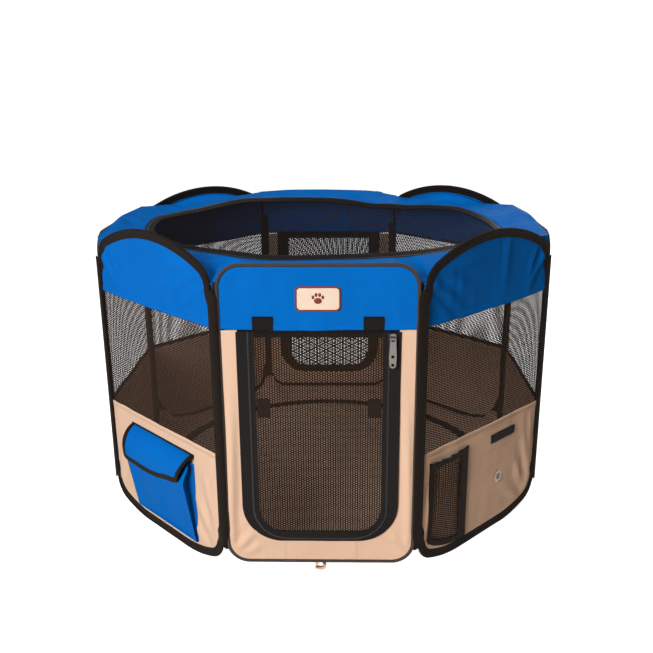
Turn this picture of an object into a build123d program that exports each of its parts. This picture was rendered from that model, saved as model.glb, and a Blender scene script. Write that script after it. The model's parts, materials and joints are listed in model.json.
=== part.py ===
from build123d import *

import math
import os

# Eight-panel folding fabric pet playpen: wire-framed walls, two zipped doors, zipped mesh roof and floor.
#
# Millimetres, +Z up, origin on the ground under the middle of the pen, front door facing -Y.
# Each wall panel is drawn flat in its own frame (u along the wall, w outward from its inner face,
# z up) and then set round the octagon. The straight panels (front, right, back, left) carry narrow
# piping; the arched panels between them carry wide binding and stand on the ground.

# Driving dimensions of the octagon, measured on the inner faces of the walls.
STRAIGHT_HALF = 188.0  # half width of a straight panel, hinge line to hinge line
ARCHED_HALF = 205.5  # half width of an arched panel
WALL = 8.0  # thickness of a wall at its binding
EDGE_GAP = 3.0  # from a hinge line to the binding of the panel beside it
STRAIGHT_APOTHEM = STRAIGHT_HALF + math.sqrt(2) * ARCHED_HALF
ARCHED_APOTHEM = (STRAIGHT_HALF + STRAIGHT_APOTHEM) / math.sqrt(2)
TURN = 45.0  # each panel stands this many degrees round from the last

# Heights.
STRAIGHT_LOW = 24.0
STRAIGHT_HIGH = 632.0
STRAIGHT_CORNER = 45.0
ARCH_HIGH = 665.0
ARCH_SHOULDER = 612.0  # where the top arch would meet the side
ARCH_FOOT_HALF = 70.0  # half width of the flat that stands on the ground
ARCH_HEEL = 33.0  # where the bottom arch would meet the side
ARCH_CORNER = 52.0
MESH_LOW = 254.0
MESH_HIGH = 508.0

# Sheets and tapes, as distances outward from the inner face.
FABRIC = (3.25, 4.75)
MESH = (3.5, 4.5)
TAPE = (3.0, 5.0)
STRAIGHT_BINDING = 8.0
ARCHED_BINDING = 19.0
BINDING_SKIN = 1.4
BINDING_SLOT = (1.6, 6.4)
WIRE_RADIUS = 2.2
WIRE_INSET = 4.0
SHEET_INSET = WIRE_INSET + WIRE_RADIUS + 0.3
SEAM_RADIUS = 1.2
SEAM_LOW = 110.0
SEAM_HIGH = 560.0

# Door: a U of zip round a mesh flap that hangs from the valance.
# Each outline is its half width, the height of its foot and its corner radius.
TAPE_OUTSIDE = (151.0, 73.0, 78.0)
TEETH = (129.0, 79.0, 66.0)
DOOR_OUTSIDE = (128.5, 79.5, 65.5)
DOOR_MESH = (118.0, 87.0, 48.0)
DOOR_TOP = MESH_HIGH - 3.0
SLIDER_U = 135.5
SLIDER = (12.0, 15.0, 5.0)  # width, height, depth
SLIDER_TOP = 502.0
SLIDER_LIFT = 0.3
SLIDER_CORNER = 3.0
LUG = (2.4, 5.0, 3.2)  # width, reach from the slider's face, height
PIN_RADIUS = 1.5
PIN_LENGTH = 10.0
PIN_PLAY = 0.05
PULL = (10.6, 2.0)  # width at the pin, thickness
PULL_HOLES = ((34.5, 3.0, 6.9), (50.5, 3.0, 6.2))  # distance from the pin, radius, half width there
EYE_RADIUS = 3.0
EYE_WIDTH = 2.2
EYE_U = 4.2
STRAP = (38.0, 25.0, 1.4)
STRAP_U = 101.0
INNER_STRAP = (34.0, 80.0, 1.4)
INNER_STRAP_U = 99.0
INNER_STRAP_HIGH = 530.0
STRAP_STAND_OFF = 1.2
PATCH = (26.0, 38.0, 1.5)
PATCH_U = 104.0
PATCH_HIGH = 373.0

# Trim on single panels.
LABEL = (83.0, 47.0, 2.0)
LABEL_HIGH = 590.0
LABEL_CORNER = 9.0
POCKET_HALF = 117.0
POCKET_LOW = 30.0
POCKET_HIGH = 216.0
POCKET_DEPTH = 30.0
POCKET_TOE = 5.0
POCKET_CLOTH = 1.5
FLAP_BEAD = 1.0
FLAP_BEAD_GAP = 0.6
FLAP_SEAM_RISE = 8.0
FLAP_DROP = 62.0
FLAP_LAP = 3.0  # how far the flap reaches past the pocket at each end
FLAP_GAP = 1.2
NET_U = (-190.0, -58.0)
NET_Z = (30.0, 232.0)
NET_DEPTH = 14.0
NET_CLOTH = 1.5
SEWING_GAP = 0.5
GROMMET_U = 60.0
GROMMET_Z = 118.0
GROMMET_HOLE = 7.0
GROMMET_RIM = 14.0
GROMMET_REACH = 1.5
TAB = (86.0, 20.0, 2.0)
TAB_U = 69.0
TAB_Z = 215.0
PEG_LOOP_HALF = 10.0
PEG_LOOP_DROP = 14.0
PEG_LOOP_HOLE = 4.5

# Roof and floor, both round the middle of the octagon.
CLEAR = 0.6  # between the walls and the cloth inside them
ROOF_Z = 618.0
ROOF_CLOTH = 1.5
COLLAR_RADIUS = 422.0
ROOF_TEETH_RADIUS = 412.0
ROOF_TEETH_GAP = 0.4
ROOF_TAPE = 2.4
LID_EDGE = 14.0
LID_NET = 1.0
ROOF_SLIDER = (9.0, 14.0, 4.0)  # across the zip, along it, height
ROOF_SLIDER_ANGLE = -24.0
ROOF_PULL = (8.0, 32.0, 1.6)
ROOF_PULL_LAP = 5.0
FLOOR_Z = 1.5
FLOOR_CLOTH = 1.5
FLOOR_TAPE = 2.5
FLOOR_CORNER_RADIUS = 496.0
FLOOR_ZIP_RADIUS = 405.0
FLOOR_ZIP_HALF = 7.0

NAMES = ["front", "front_right", "right", "back_right", "back", "back_left", "left", "front_left"]
DOORS = {"front": 0, "back": 4}


def box(x, y, z):
    """A box between the limits (low, high) along each axis."""
    size = [v[1] - v[0] for v in (x, y, z)]
    middle = [(v[1] + v[0]) / 2 for v in (x, y, z)]
    return Pos(*middle) * Box(*size)


def on_wall(panel, shape):
    """Sets a shape drawn in a panel's own frame in its place in the octagon."""
    apothem = STRAIGHT_APOTHEM if panel % 2 == 0 else ARCHED_APOTHEM
    return Rot(0, 0, TURN * panel) * Pos(0, -apothem, 0) * shape


def slab(face, depth):
    """The solid that a flat face in u and z makes between two distances outward."""
    plane = Plane.XZ.offset(depth[0])
    return extrude(plane * face, depth[1] - depth[0])


def strip(z):
    """A band of the wall, as wide as any panel, between two heights."""
    width = 3 * ARCHED_HALF
    return Pos(0, (z[0] + z[1]) / 2) * Rectangle(width, z[1] - z[0])


def outline(panel, inset=0.0):
    """The flat shape of a panel, in u and z, drawn in from its edge by an inset."""
    if panel % 2 == 0:
        half = STRAIGHT_HALF - EDGE_GAP - inset
        height = STRAIGHT_HIGH - STRAIGHT_LOW - 2 * inset
        corner = max(STRAIGHT_CORNER - inset, 1.0)
        middle = (STRAIGHT_HIGH + STRAIGHT_LOW) / 2
        return Pos(0, middle) * RectangleRounded(2 * half, height, corner)
    half = ARCHED_HALF - EDGE_GAP
    run = half - ARCH_FOOT_HALF
    heel_radius = (run**2 + ARCH_HEEL**2) / (2 * ARCH_HEEL)
    share = math.asin(run / heel_radius) / 2
    way = (ARCH_FOOT_HALF + heel_radius * math.sin(share), heel_radius * (1 - math.cos(share)))
    edges = [
        Line((-ARCH_FOOT_HALF, 0), (ARCH_FOOT_HALF, 0)),
        ThreePointArc((ARCH_FOOT_HALF, 0), way, (half, ARCH_HEEL)),
        Line((half, ARCH_HEEL), (half, ARCH_SHOULDER)),
        ThreePointArc((half, ARCH_SHOULDER), (0, ARCH_HIGH), (-half, ARCH_SHOULDER)),
        Line((-half, ARCH_SHOULDER), (-half, ARCH_HEEL)),
        ThreePointArc((-half, ARCH_HEEL), (-way[0], way[1]), (-ARCH_FOOT_HALF, 0)),
    ]
    shape = make_face(edges)
    corners = [v for v in shape.vertices() if abs(abs(v.X) - half) < 0.01]
    shape = fillet(corners, ARCH_CORNER)
    return offset(shape, -inset) if inset else shape


def door_shape(outline_sizes):
    """A U in u and z of the given half width, foot and corner radius, open at the top."""
    half, low, corner = outline_sizes
    top = MESH_HIGH + 2 * corner
    whole = Pos(0, (low + top) / 2) * RectangleRounded(2 * half, top - low, corner)
    return whole & strip((0, DOOR_TOP))


def binding(panel):
    """The tape folded round a panel's edge, slotted to take the wire and the cloth."""
    width = STRAIGHT_BINDING if panel % 2 == 0 else ARCHED_BINDING
    ring = slab(outline(panel) - outline(panel, width), (0, WALL))
    slot = slab(outline(panel, BINDING_SKIN) - outline(panel, width + 1), BINDING_SLOT)
    return ring - slot


def seam(panel):
    """The sewn bead on the hinge line past a panel's right edge, with the web that ties it in."""
    half = STRAIGHT_HALF if panel % 2 == 0 else ARCHED_HALF
    height = SEAM_HIGH - SEAM_LOW
    bead = Pos(half, 0, (SEAM_LOW + SEAM_HIGH) / 2) * Cylinder(SEAM_RADIUS, height)
    web = box((half - EDGE_GAP, half), (-SEAM_RADIUS, 0), (SEAM_LOW, SEAM_HIGH))
    return bead + web


def wire(panel):
    """The closed loop of spring wire that holds a panel's shape."""
    path = outline(panel, WIRE_INSET).face().outer_wire()
    path = Plane.XZ.offset(WALL / 2) * path
    start = path.edges()[0]
    profile = Plane(start @ 0, z_dir=start % 0) * Circle(WIRE_RADIUS)
    return sweep(profile, path, transition=Transition.ROUND)


def sheet(panel, z, depth):
    """A piece of a panel's cloth between two heights."""
    return slab(outline(panel, SHEET_INSET) & strip(z), depth)


def peg_loop():
    """The webbing loop under a straight panel that a ground peg goes through."""
    low = STRAIGHT_LOW - PEG_LOOP_DROP
    loop = Pos(0, (low + STRAIGHT_LOW) / 2) * Rectangle(2 * PEG_LOOP_HALF, PEG_LOOP_DROP)
    loop = loop + Pos(0, low + PEG_LOOP_HALF / 2) * Circle(PEG_LOOP_HALF / 2)
    eye = Pos(0, low + PEG_LOOP_DROP / 2) * Circle(PEG_LOOP_HOLE)
    return slab(loop - eye, FABRIC)


def doorway():
    """The whole opening in a door panel's cloth, with the slit between the door and the valance."""
    half = TAPE_OUTSIDE[0]
    slit = Pos(0, (DOOR_TOP + MESH_HIGH) / 2) * Rectangle(2 * half, MESH_HIGH - DOOR_TOP)
    return door_shape(TAPE_OUTSIDE) + slit


def lower_cloth(panel):
    """The lower cloth: a plain piece, or on a door panel the surround of the doorway."""
    if NAMES[panel] in DOORS:
        cloth = slab((outline(panel, SHEET_INSET) & strip((0, MESH_HIGH))) - doorway(), FABRIC)
    else:
        cloth = sheet(panel, (0, MESH_LOW), FABRIC)
    if NAMES[panel] == "front_right":
        hole = Pos(GROMMET_U, GROMMET_Z) * Circle(GROMMET_HOLE + GROMMET_REACH)
        cloth = cloth - slab(hole, (0, WALL))
    if panel % 2 == 0:
        return [cloth, peg_loop()]
    return [cloth]


def zip_tape():
    """The panel's half of the zip, and the outer and inner straps that hold the rolled door."""
    pieces = [slab(door_shape(TAPE_OUTSIDE) - door_shape(TEETH), TAPE)]
    for side in (-1, 1):
        width, height, thick = STRAP
        across = (side * STRAP_U - width / 2, side * STRAP_U + width / 2)
        low = MESH_HIGH + thick
        pieces.append(box(across, (-FABRIC[1] - thick, -FABRIC[1]), (low, low + height)))
        width, height, thick = INNER_STRAP
        across = (side * INNER_STRAP_U - width / 2, side * INNER_STRAP_U + width / 2)
        through = (-STRAP_STAND_OFF - thick, -STRAP_STAND_OFF)
        pieces.append(box(across, through, (INNER_STRAP_HIGH - height, INNER_STRAP_HIGH)))
    return pieces


def door_tape():
    """The door's half of the zip, and the two patches that the straps fasten to."""
    pieces = [slab(door_shape(DOOR_OUTSIDE) - door_shape(DOOR_MESH), TAPE)]
    width, height, thick = PATCH
    for side in (-1, 1):
        across = (side * PATCH_U - width / 2, side * PATCH_U + width / 2)
        inside = (-MESH[0], -MESH[0] + thick)
        pieces.append(box(across, inside, (PATCH_HIGH - height, PATCH_HIGH)))
    return pieces


def door_mesh():
    """The mesh flap itself."""
    return slab(door_shape(DOOR_MESH), MESH)


def pull_pin():
    """Where the pin that the pull hangs on lies: its y and z in the panel's frame."""
    face = TAPE[1] + SLIDER_LIFT + SLIDER[2]
    return (-face - LUG[1] + PIN_RADIUS, SLIDER_TOP - SLIDER[1] / 2)


def zip_slider():
    """The slider body, with its lug and the pin through it."""
    width, height, depth = SLIDER
    back = -TAPE[1] - SLIDER_LIFT
    across = (SLIDER_U - width / 2, SLIDER_U + width / 2)
    body = box(across, (back - depth, back), (SLIDER_TOP - height, SLIDER_TOP))
    body = fillet(body.edges().filter_by(Axis.Y), SLIDER_CORNER)
    y, z = pull_pin()
    across = (SLIDER_U - LUG[0] / 2, SLIDER_U + LUG[0] / 2)
    lug = box(across, (back - depth - LUG[1], back - depth), (z - LUG[2] / 2, z + LUG[2] / 2))
    pin = Pos(SLIDER_U, y, z) * Rot(0, 90, 0) * Cylinder(PIN_RADIUS, PIN_LENGTH)
    return body + lug + pin


def zip_pull():
    """The flat metal tab: an eye on each side of the lug, a long taper and two holes at its foot."""
    width, thick = PULL
    y, z = pull_pin()
    side = [(width / 2, 0)] + [(half, -reach) for reach, _, half in PULL_HOLES]
    flat = make_face(Polyline(*side, *((-u, v) for u, v in reversed(side)), close=True))
    foot, _, foot_radius = PULL_HOLES[-1]
    flat += Pos(0, -foot) * Circle(foot_radius)
    flat -= Rectangle(2 * EYE_U - EYE_WIDTH, 2 * LUG[1] + 2)
    for reach, radius, _ in PULL_HOLES:
        flat -= Pos(0, -reach) * Circle(radius)
    tab = slab(Pos(SLIDER_U, z) * flat, (-y - thick / 2, -y + thick / 2))
    for side in (-1, 1):
        tab += Pos(SLIDER_U + side * EYE_U, y, z) * Rot(0, 90, 0) * Cylinder(EYE_RADIUS, EYE_WIDTH)
    return tab - Pos(SLIDER_U, y, z) * Rot(0, 90, 0) * Cylinder(PIN_RADIUS + PIN_PLAY, width + 2)


def label():
    """The sewn label on the front valance, left blank."""
    width, height, thick = LABEL
    flat = Pos(0, LABEL_HIGH - height / 2) * RectangleRounded(width, height, LABEL_CORNER)
    return slab(flat, (FABRIC[1], FABRIC[1] + thick))


def pocket_profile(inset):
    """The wedge of the pocket's side, in y and z, thick at the top and thin at the toe."""
    back = -FABRIC[1]
    return Polyline(
        (back, POCKET_LOW + inset),
        (back - POCKET_TOE + inset, POCKET_LOW + inset),
        (back - POCKET_DEPTH + inset, POCKET_HIGH),
        (back, POCKET_HIGH),
        close=True,
    )


def pocket():
    """The gusseted pocket: a front, two sides and a toe, open at the top and at the wall."""

    def wedge(inset):
        face = Plane.YZ * make_face(pocket_profile(inset))
        return extrude(face, POCKET_HALF - inset, both=True)

    opening = wedge(POCKET_CLOTH)
    lift = Pos(0, 0, 1) * opening
    return wedge(0) - opening - lift


def pocket_flap():
    """The flap that folds down over the pocket's mouth, hinged on the bead along its seam."""
    back = -FABRIC[1]
    seam_y = back - FLAP_BEAD - FLAP_BEAD_GAP
    seam_z = POCKET_HIGH + FLAP_SEAM_RISE
    over = POCKET_HIGH + FLAP_GAP
    slope = (POCKET_DEPTH - POCKET_TOE) / (POCKET_HIGH - POCKET_LOW)
    out = back - POCKET_DEPTH - FLAP_GAP - POCKET_CLOTH
    low = seam_z - FLAP_DROP
    lean = (over - low) * slope
    cloth = Polyline(
        (seam_y, seam_z + POCKET_CLOTH / 2),
        (out, over + POCKET_CLOTH),
        (out + lean, low),
        (out + lean + POCKET_CLOTH, low),
        (out + POCKET_CLOTH, over),
        (seam_y, seam_z - POCKET_CLOTH / 2),
        close=True,
    )
    section = make_face(cloth) + Pos(seam_y, seam_z) * Circle(FLAP_BEAD)
    return extrude(Plane.YZ * section, POCKET_HALF + FLAP_LAP, both=True)


def net_pocket():
    """The flat net pocket: a net front with sides and a foot, open at the top and at the wall."""

    def block(inset, top):
        wide = NET_U[1] - NET_U[0] - inset
        low = NET_Z[0] + inset
        flat = Pos(NET_U[0] + wide / 2, (low + top) / 2) * Rectangle(wide, top - low)
        return flat & outline(1, ARCHED_BINDING + SEWING_GAP + inset)

    shell = slab(block(0, NET_Z[1]), (FABRIC[1], FABRIC[1] + NET_DEPTH))
    return shell - slab(block(NET_CLOTH, NET_Z[1] + 1), (FABRIC[1], FABRIC[1] + NET_DEPTH - NET_CLOTH))


def grommet():
    """The eyelet that a drinking bottle's spout goes through."""
    reach = GROMMET_REACH - 0.1
    place = Pos(GROMMET_U, GROMMET_Z)
    rims = slab(place * Circle(GROMMET_RIM), (FABRIC[1], FABRIC[1] + reach))
    rims += slab(place * Circle(GROMMET_RIM), (FABRIC[0] - reach, FABRIC[0]))
    rims += slab(place * Circle(GROMMET_HOLE + reach), (FABRIC[0] - reach, FABRIC[1] + reach))
    return rims - slab(place * Circle(GROMMET_HOLE), (0, WALL))


def hook_tab():
    """The strip of hook tape beside the eyelet."""
    width, height, thick = TAB
    across = (TAB_U - width / 2, TAB_U + width / 2)
    return box(across, (-FABRIC[1] - thick, -FABRIC[1]), (TAB_Z - height / 2, TAB_Z + height / 2))


def octagon(inset):
    """The plan of the pen's inside, drawn in from the walls by an inset."""
    straight = STRAIGHT_APOTHEM - inset
    arched = ARCHED_APOTHEM - inset
    half = arched * math.sqrt(2) - straight
    points = []
    for quarter in range(4):
        for side in (-1, 1):
            corner = Vector(side * half, -straight).rotate(Axis.Z, 2 * TURN * quarter)
            points.append((corner.X, corner.Y))
    return make_face(Polyline(*points, close=True))


def ring(outer, inner, z, thick):
    """A flat round ring standing on a height."""
    return extrude(Pos(0, 0, z) * (Circle(outer) - Circle(inner)), thick)


def roof_collar():
    """The cloth collar from the walls in to the roof's zip."""
    plan = octagon(CLEAR) - Circle(COLLAR_RADIUS)
    return extrude(Pos(0, 0, ROOF_Z) * plan, ROOF_CLOTH)


def roof_tape():
    """The collar's half of the roof zip."""
    return ring(COLLAR_RADIUS, ROOF_TEETH_RADIUS + ROOF_TEETH_GAP, ROOF_Z, ROOF_TAPE)


def roof_lid():
    """The mesh lid, and the tape round its edge that carries its half of the zip."""
    edge = ROOF_TEETH_RADIUS - ROOF_TEETH_GAP
    net = extrude(Pos(0, 0, ROOF_Z) * Circle(edge - LID_EDGE), LID_NET)
    return [net, ring(edge, edge - LID_EDGE, ROOF_Z, ROOF_TAPE)]


def roof_slider():
    """The roof zip's slider and its short pull, sitting on the collar's tape."""
    width, length, height = ROOF_SLIDER
    near = ROOF_TEETH_RADIUS + 2 * ROOF_TEETH_GAP
    low = ROOF_Z + ROOF_TAPE + SLIDER_LIFT
    top = low + height
    body = box((near, near + width), (-length / 2, length / 2), (low, top))
    wide, reach, thick = ROOF_PULL
    across = (near + (width - wide) / 2, near + (width + wide) / 2)
    end = ROOF_PULL_LAP - length / 2
    pull = box(across, (end - reach, end), (top, top + thick))
    round_body = fillet(body.edges().filter_by(Axis.Z), SLIDER_CORNER)
    round_pull = fillet(pull.edges().filter_by(Axis.Z), SLIDER_CORNER)
    return Rot(0, 0, ROOF_SLIDER_ANGLE) * (round_body + round_pull)


def floor_border():
    """The cloth border of the floor, from the walls in to the round zip."""
    plan = (octagon(CLEAR) & Circle(FLOOR_CORNER_RADIUS)) - Circle(FLOOR_ZIP_RADIUS + FLOOR_ZIP_HALF)
    return extrude(Pos(0, 0, FLOOR_Z) * plan, FLOOR_CLOTH)


def floor_mat():
    """The round mat that zips out, and the ring of zip tape round it."""
    inside = FLOOR_ZIP_RADIUS - FLOOR_ZIP_HALF
    mat = extrude(Pos(0, 0, FLOOR_Z) * Circle(inside), FLOOR_CLOTH)
    return [mat, ring(FLOOR_ZIP_RADIUS + FLOOR_ZIP_HALF, inside, FLOOR_Z, FLOOR_TAPE)]


def wall_nodes(panel):
    """Every node of one wall panel, by name, in the panel's own frame."""
    name = NAMES[panel]
    nodes = {
        f"binding_{name}": [binding(panel), seam(panel)],
        f"wire_frame_{name}": [wire(panel)],
        f"top_fabric_{name}": [sheet(panel, (MESH_HIGH, ARCH_HIGH), FABRIC)],
        f"lower_fabric_{name}": lower_cloth(panel),
    }
    if name not in DOORS:
        nodes[f"mesh_{name}"] = [sheet(panel, (MESH_LOW, MESH_HIGH), MESH)]
        return nodes
    nodes[f"zip_tape_{name}"] = zip_tape()
    nodes[f"door_tape_{name}"] = door_tape()
    nodes[f"door_mesh_{name}"] = [door_mesh()]
    nodes[f"zip_slider_{name}"] = [zip_slider()]
    nodes[f"zip_pull_{name}"] = [zip_pull()]
    return nodes


def all_nodes():
    """Every node of the pen, by name, in place."""
    trims = {
        0: {"label_patch": [label()]},
        1: {"net_pocket": [net_pocket()], "grommet": [grommet()], "hook_tab": [hook_tab()]},
        7: {"pocket_body": [pocket()], "pocket_flap": [pocket_flap()]},
    }
    placed = {}
    for panel in range(len(NAMES)):
        nodes = {**wall_nodes(panel), **trims.get(panel, {})}
        for name, pieces in nodes.items():
            placed[name] = [on_wall(panel, piece) for piece in pieces]
    placed["roof_collar"] = [roof_collar()]
    placed["roof_zip_tape"] = [roof_tape()]
    placed["roof_lid"] = roof_lid()
    placed["roof_zip_slider"] = [roof_slider()]
    placed["floor_border"] = [floor_border()]
    placed["floor_mat"] = floor_mat()
    return placed


os.makedirs("parts", exist_ok=True)
for node, pieces in all_nodes().items():
    solids = [solid for piece in pieces for solid in piece.solids()]
    export_step(Compound(solids), f"parts/{node}.step")
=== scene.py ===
"""Looks of the folding pet playpen: cloth, nets, tapes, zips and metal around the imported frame.

Everything is in metres. A wall's own frame is (u, w, z): u along the wall, w outward from its inner
face, z up. Each wall is drawn flat and then set round the octagon.
"""

import json
import math

import bpy
import numpy as np
from mathutils import Matrix, Vector


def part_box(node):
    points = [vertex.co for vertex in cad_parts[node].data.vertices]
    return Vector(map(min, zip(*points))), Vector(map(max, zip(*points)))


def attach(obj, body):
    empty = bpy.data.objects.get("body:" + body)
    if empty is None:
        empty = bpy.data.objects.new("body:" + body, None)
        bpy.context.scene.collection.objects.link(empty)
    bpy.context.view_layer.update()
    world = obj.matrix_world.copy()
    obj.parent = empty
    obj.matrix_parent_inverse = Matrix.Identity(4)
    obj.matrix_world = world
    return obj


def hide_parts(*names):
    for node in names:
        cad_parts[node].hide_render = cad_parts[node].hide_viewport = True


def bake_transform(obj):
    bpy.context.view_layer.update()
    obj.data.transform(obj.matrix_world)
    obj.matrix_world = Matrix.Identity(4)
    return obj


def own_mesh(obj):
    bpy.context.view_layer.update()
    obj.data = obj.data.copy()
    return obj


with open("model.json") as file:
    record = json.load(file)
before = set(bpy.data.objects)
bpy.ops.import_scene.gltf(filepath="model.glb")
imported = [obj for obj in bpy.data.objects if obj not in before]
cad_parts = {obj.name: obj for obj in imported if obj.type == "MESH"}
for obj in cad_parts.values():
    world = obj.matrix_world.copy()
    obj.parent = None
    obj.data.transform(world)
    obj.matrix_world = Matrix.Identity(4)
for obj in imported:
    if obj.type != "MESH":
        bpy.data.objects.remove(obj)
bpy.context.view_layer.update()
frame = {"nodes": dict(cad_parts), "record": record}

# Driving sizes of the walls, the same as the frame's.
STRAIGHT_HALF = 0.188
ARCHED_HALF = 0.2055
EDGE_GAP = 0.003
STRAIGHT_APOTHEM = STRAIGHT_HALF + math.sqrt(2) * ARCHED_HALF
ARCHED_APOTHEM = (STRAIGHT_HALF + STRAIGHT_APOTHEM) / math.sqrt(2)
STRAIGHT_LOW, STRAIGHT_HIGH, STRAIGHT_CORNER = 0.024, 0.632, 0.045
ARCH_HIGH, ARCH_SHOULDER, ARCH_FOOT_HALF, ARCH_HEEL, ARCH_CORNER = 0.665, 0.612, 0.070, 0.033, 0.052
MESH_LOW, MESH_HIGH = 0.254, 0.508
CLOTH_W = 0.004  # where the cloth hangs, outward from the inner face
NAMES = ["front", "front_right", "right", "back_right", "back", "back_left", "left", "front_left"]
DOORS = {"front": 0, "back": 4}
OPEN_CORNER = 4  # the walls' chain is open after the back one, so that corner has no joint
UV = "Cloth"


# ---------------------------------------------------------------- walls' own frames

def half_of(panel):
    return STRAIGHT_HALF if panel % 2 == 0 else ARCHED_HALF


def edge_half(panel):
    """Half the width of a wall's outline."""
    return half_of(panel) - EDGE_GAP


def place(panel, points):
    """Points (u, w, z) of a wall's own frame, set in place round the octagon."""
    points = np.asarray(points, float).reshape(-1, 3)
    turn = math.radians(45 * panel)
    apothem = STRAIGHT_APOTHEM if panel % 2 == 0 else ARCHED_APOTHEM
    u, y = points[:, 0], -(apothem + points[:, 1])
    x = u * math.cos(turn) - y * math.sin(turn)
    return np.stack([x, u * math.sin(turn) + y * math.cos(turn), points[:, 2]], 1)


def arcs(panel):
    """The arcs of a wall's outline, anticlockwise from its right side: centre, radius, angles."""
    half = edge_half(panel)
    quarter = math.pi / 2
    if panel % 2 == 0:
        r = STRAIGHT_CORNER
        centres = [(1, 1), (-1, 1), (-1, -1), (1, -1)]
        middle, tall = (STRAIGHT_HIGH + STRAIGHT_LOW) / 2, (STRAIGHT_HIGH - STRAIGHT_LOW) / 2
        return [
            ((a * (half - r), middle + b * (tall - r)), r, k * quarter, (k + 1) * quarter)
            for k, (a, b) in enumerate(centres)
        ]
    r, u = ARCH_CORNER, half - ARCH_CORNER
    rise, run = ARCH_HIGH - ARCH_SHOULDER, half - ARCH_FOOT_HALF
    top_r = (half**2 + rise**2) / (2 * rise)
    heel_r = (run**2 + ARCH_HEEL**2) / (2 * ARCH_HEEL)
    reach = math.sqrt((top_r - r) ** 2 - u**2)
    heel_reach = math.sqrt((heel_r - r) ** 2 - (u - ARCH_FOOT_HALF) ** 2)
    a, b = math.atan2(reach, u), math.atan2(heel_reach, u - ARCH_FOOT_HALF)
    top, turn = ARCH_HIGH - top_r, 2 * math.pi
    return [
        ((u, top + reach), r, 0, a),
        ((0, top), top_r, a, math.pi - a),
        ((-u, top + reach), r, math.pi - a, math.pi),
        ((-u, heel_r - heel_reach), r, math.pi, math.pi + b),
        ((-ARCH_FOOT_HALF, heel_r), heel_r, math.pi + b, 3 * quarter),
        ((ARCH_FOOT_HALF, heel_r), heel_r, 3 * quarter, turn - b),
        ((u, heel_r - heel_reach), r, turn - b, turn),
    ]


def run_of(points):
    """The length along a line of points, from its first one."""
    return np.concatenate([[0], np.cumsum(np.linalg.norm(np.diff(points, axis=0), axis=1))])


def even(points, step, closed=False):
    """A line resampled at an even step, with the length along it at each point."""
    points = np.asarray(points, float)
    if closed:
        points = np.vstack([points, points[:1]])
    gaps = np.linalg.norm(np.diff(points, axis=0), axis=1)
    points = points[np.concatenate([[True], gaps > 1e-7])]
    length = run_of(points)
    at = np.linspace(0, length[-1], max(3, int(round(length[-1] / step))) + 1)
    if closed:
        at = at[:-1]
    return np.stack([np.interp(at, length, column) for column in points.T], 1), at


def unit(rows):
    return rows / np.linalg.norm(rows, axis=1)[:, None]


def outline(panel, inset=0.0, step=0.004):
    """A wall's outline in u and z, anticlockwise, drawn in by an inset, with the length along it."""
    points = []
    for centre, r, start, end in arcs(panel):
        angle = np.linspace(start, end, 40)
        points.append(np.stack([np.cos(angle), np.sin(angle)], 1) * (r - inset) + centre)
    return even(np.vstack(points), step, closed=True)


def rim_height(panel, u, inset, top):
    """The height at each u of the top or the foot of a wall's outline, drawn in by an inset."""
    line, _ = outline(panel, inset, 0.001)
    line = line[line[:, 1] > 0.4 if top else line[:, 1] < 0.2]
    line = line[np.argsort(line[:, 0])]
    return np.interp(u, line[:, 0], line[:, 1])


def door_line(half, low, corner, top, step=0.004):
    """A U from its top left, down round its foot and up to its top right, in u and z."""
    points = [(-half, top), (-half, low + corner)]
    for side, start in ((-1, math.pi), (1, 1.5 * math.pi)):
        points += [(side * (half - corner) + corner * math.cos(a), low + corner + corner * math.sin(a))
                   for a in np.linspace(start, start + math.pi / 2, 24)]
    return even([*points, (half, top)], step)


# ---------------------------------------------------------------- smooth noise for folds

def noise(x, y, seed):
    """Smooth noise from about -1 to 1 at points x, y, one cell to each unit."""
    cells = np.random.RandomState(seed).uniform(-1, 1, (64, 64))
    x0, y0 = np.floor(x).astype(int), np.floor(y).astype(int)
    fx, fy = x - x0, y - y0
    fx, fy = fx * fx * (3 - 2 * fx), fy * fy * (3 - 2 * fy)
    a, b = cells[x0 % 64, y0 % 64], cells[(x0 + 1) % 64, y0 % 64]
    c, d = cells[x0 % 64, (y0 + 1) % 64], cells[(x0 + 1) % 64, (y0 + 1) % 64]
    return (a * (1 - fx) + b * fx) * (1 - fy) + (c * (1 - fx) + d * fx) * fy


def ripples(u, z, across, along, lean, seed):
    """Soft folds that run along a direction leaning from upright, in two sizes."""
    c, s = math.cos(lean), math.sin(lean)
    a, b = u * c - z * s, u * s + z * c
    big = noise(a / across + 7.3, b / along + 3.1, seed)
    small = noise(2.3 * a / across + 1.7, 1.6 * b / along + 9.2, seed + 1)
    return 0.72 * big + 0.28 * small


def crease(u, z, start, end, width):
    """One pulled fold from start to end: a ridge with a valley on either side, fading at its ends."""
    start, end = np.array(start), np.array(end)
    way = end - start
    length = np.linalg.norm(way)
    way = way / length
    t = ((u - start[0]) * way[0] + (z - start[1]) * way[1]) / length
    off = (-(u - start[0]) * way[1] + (z - start[1]) * way[0]) / width
    shape = np.exp(-(off**2)) - 0.45 * np.exp(-((off - 1.7) ** 2)) - 0.45 * np.exp(-((off + 1.7) ** 2))
    fade = np.clip(t * 5 + 0.6, 0, 1) * np.clip((1 - t) * 2.2, 0, 1)
    return shape * fade


def fade_in(distance, reach):
    t = np.clip(distance / reach, 0, 1)
    return t * t * (3 - 2 * t)


# ---------------------------------------------------------------- materials

def tree_of(name):
    made = bpy.data.materials.new(name)
    made.use_nodes = True
    tree = made.node_tree
    return made, tree, tree.nodes["Principled BSDF"]


def put(tree, socket, value):
    """Links a socket to another one, or sets it to a number or colour."""
    if isinstance(value, bpy.types.NodeSocket):
        tree.links.new(value, socket)
    else:
        socket.default_value = value


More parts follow.
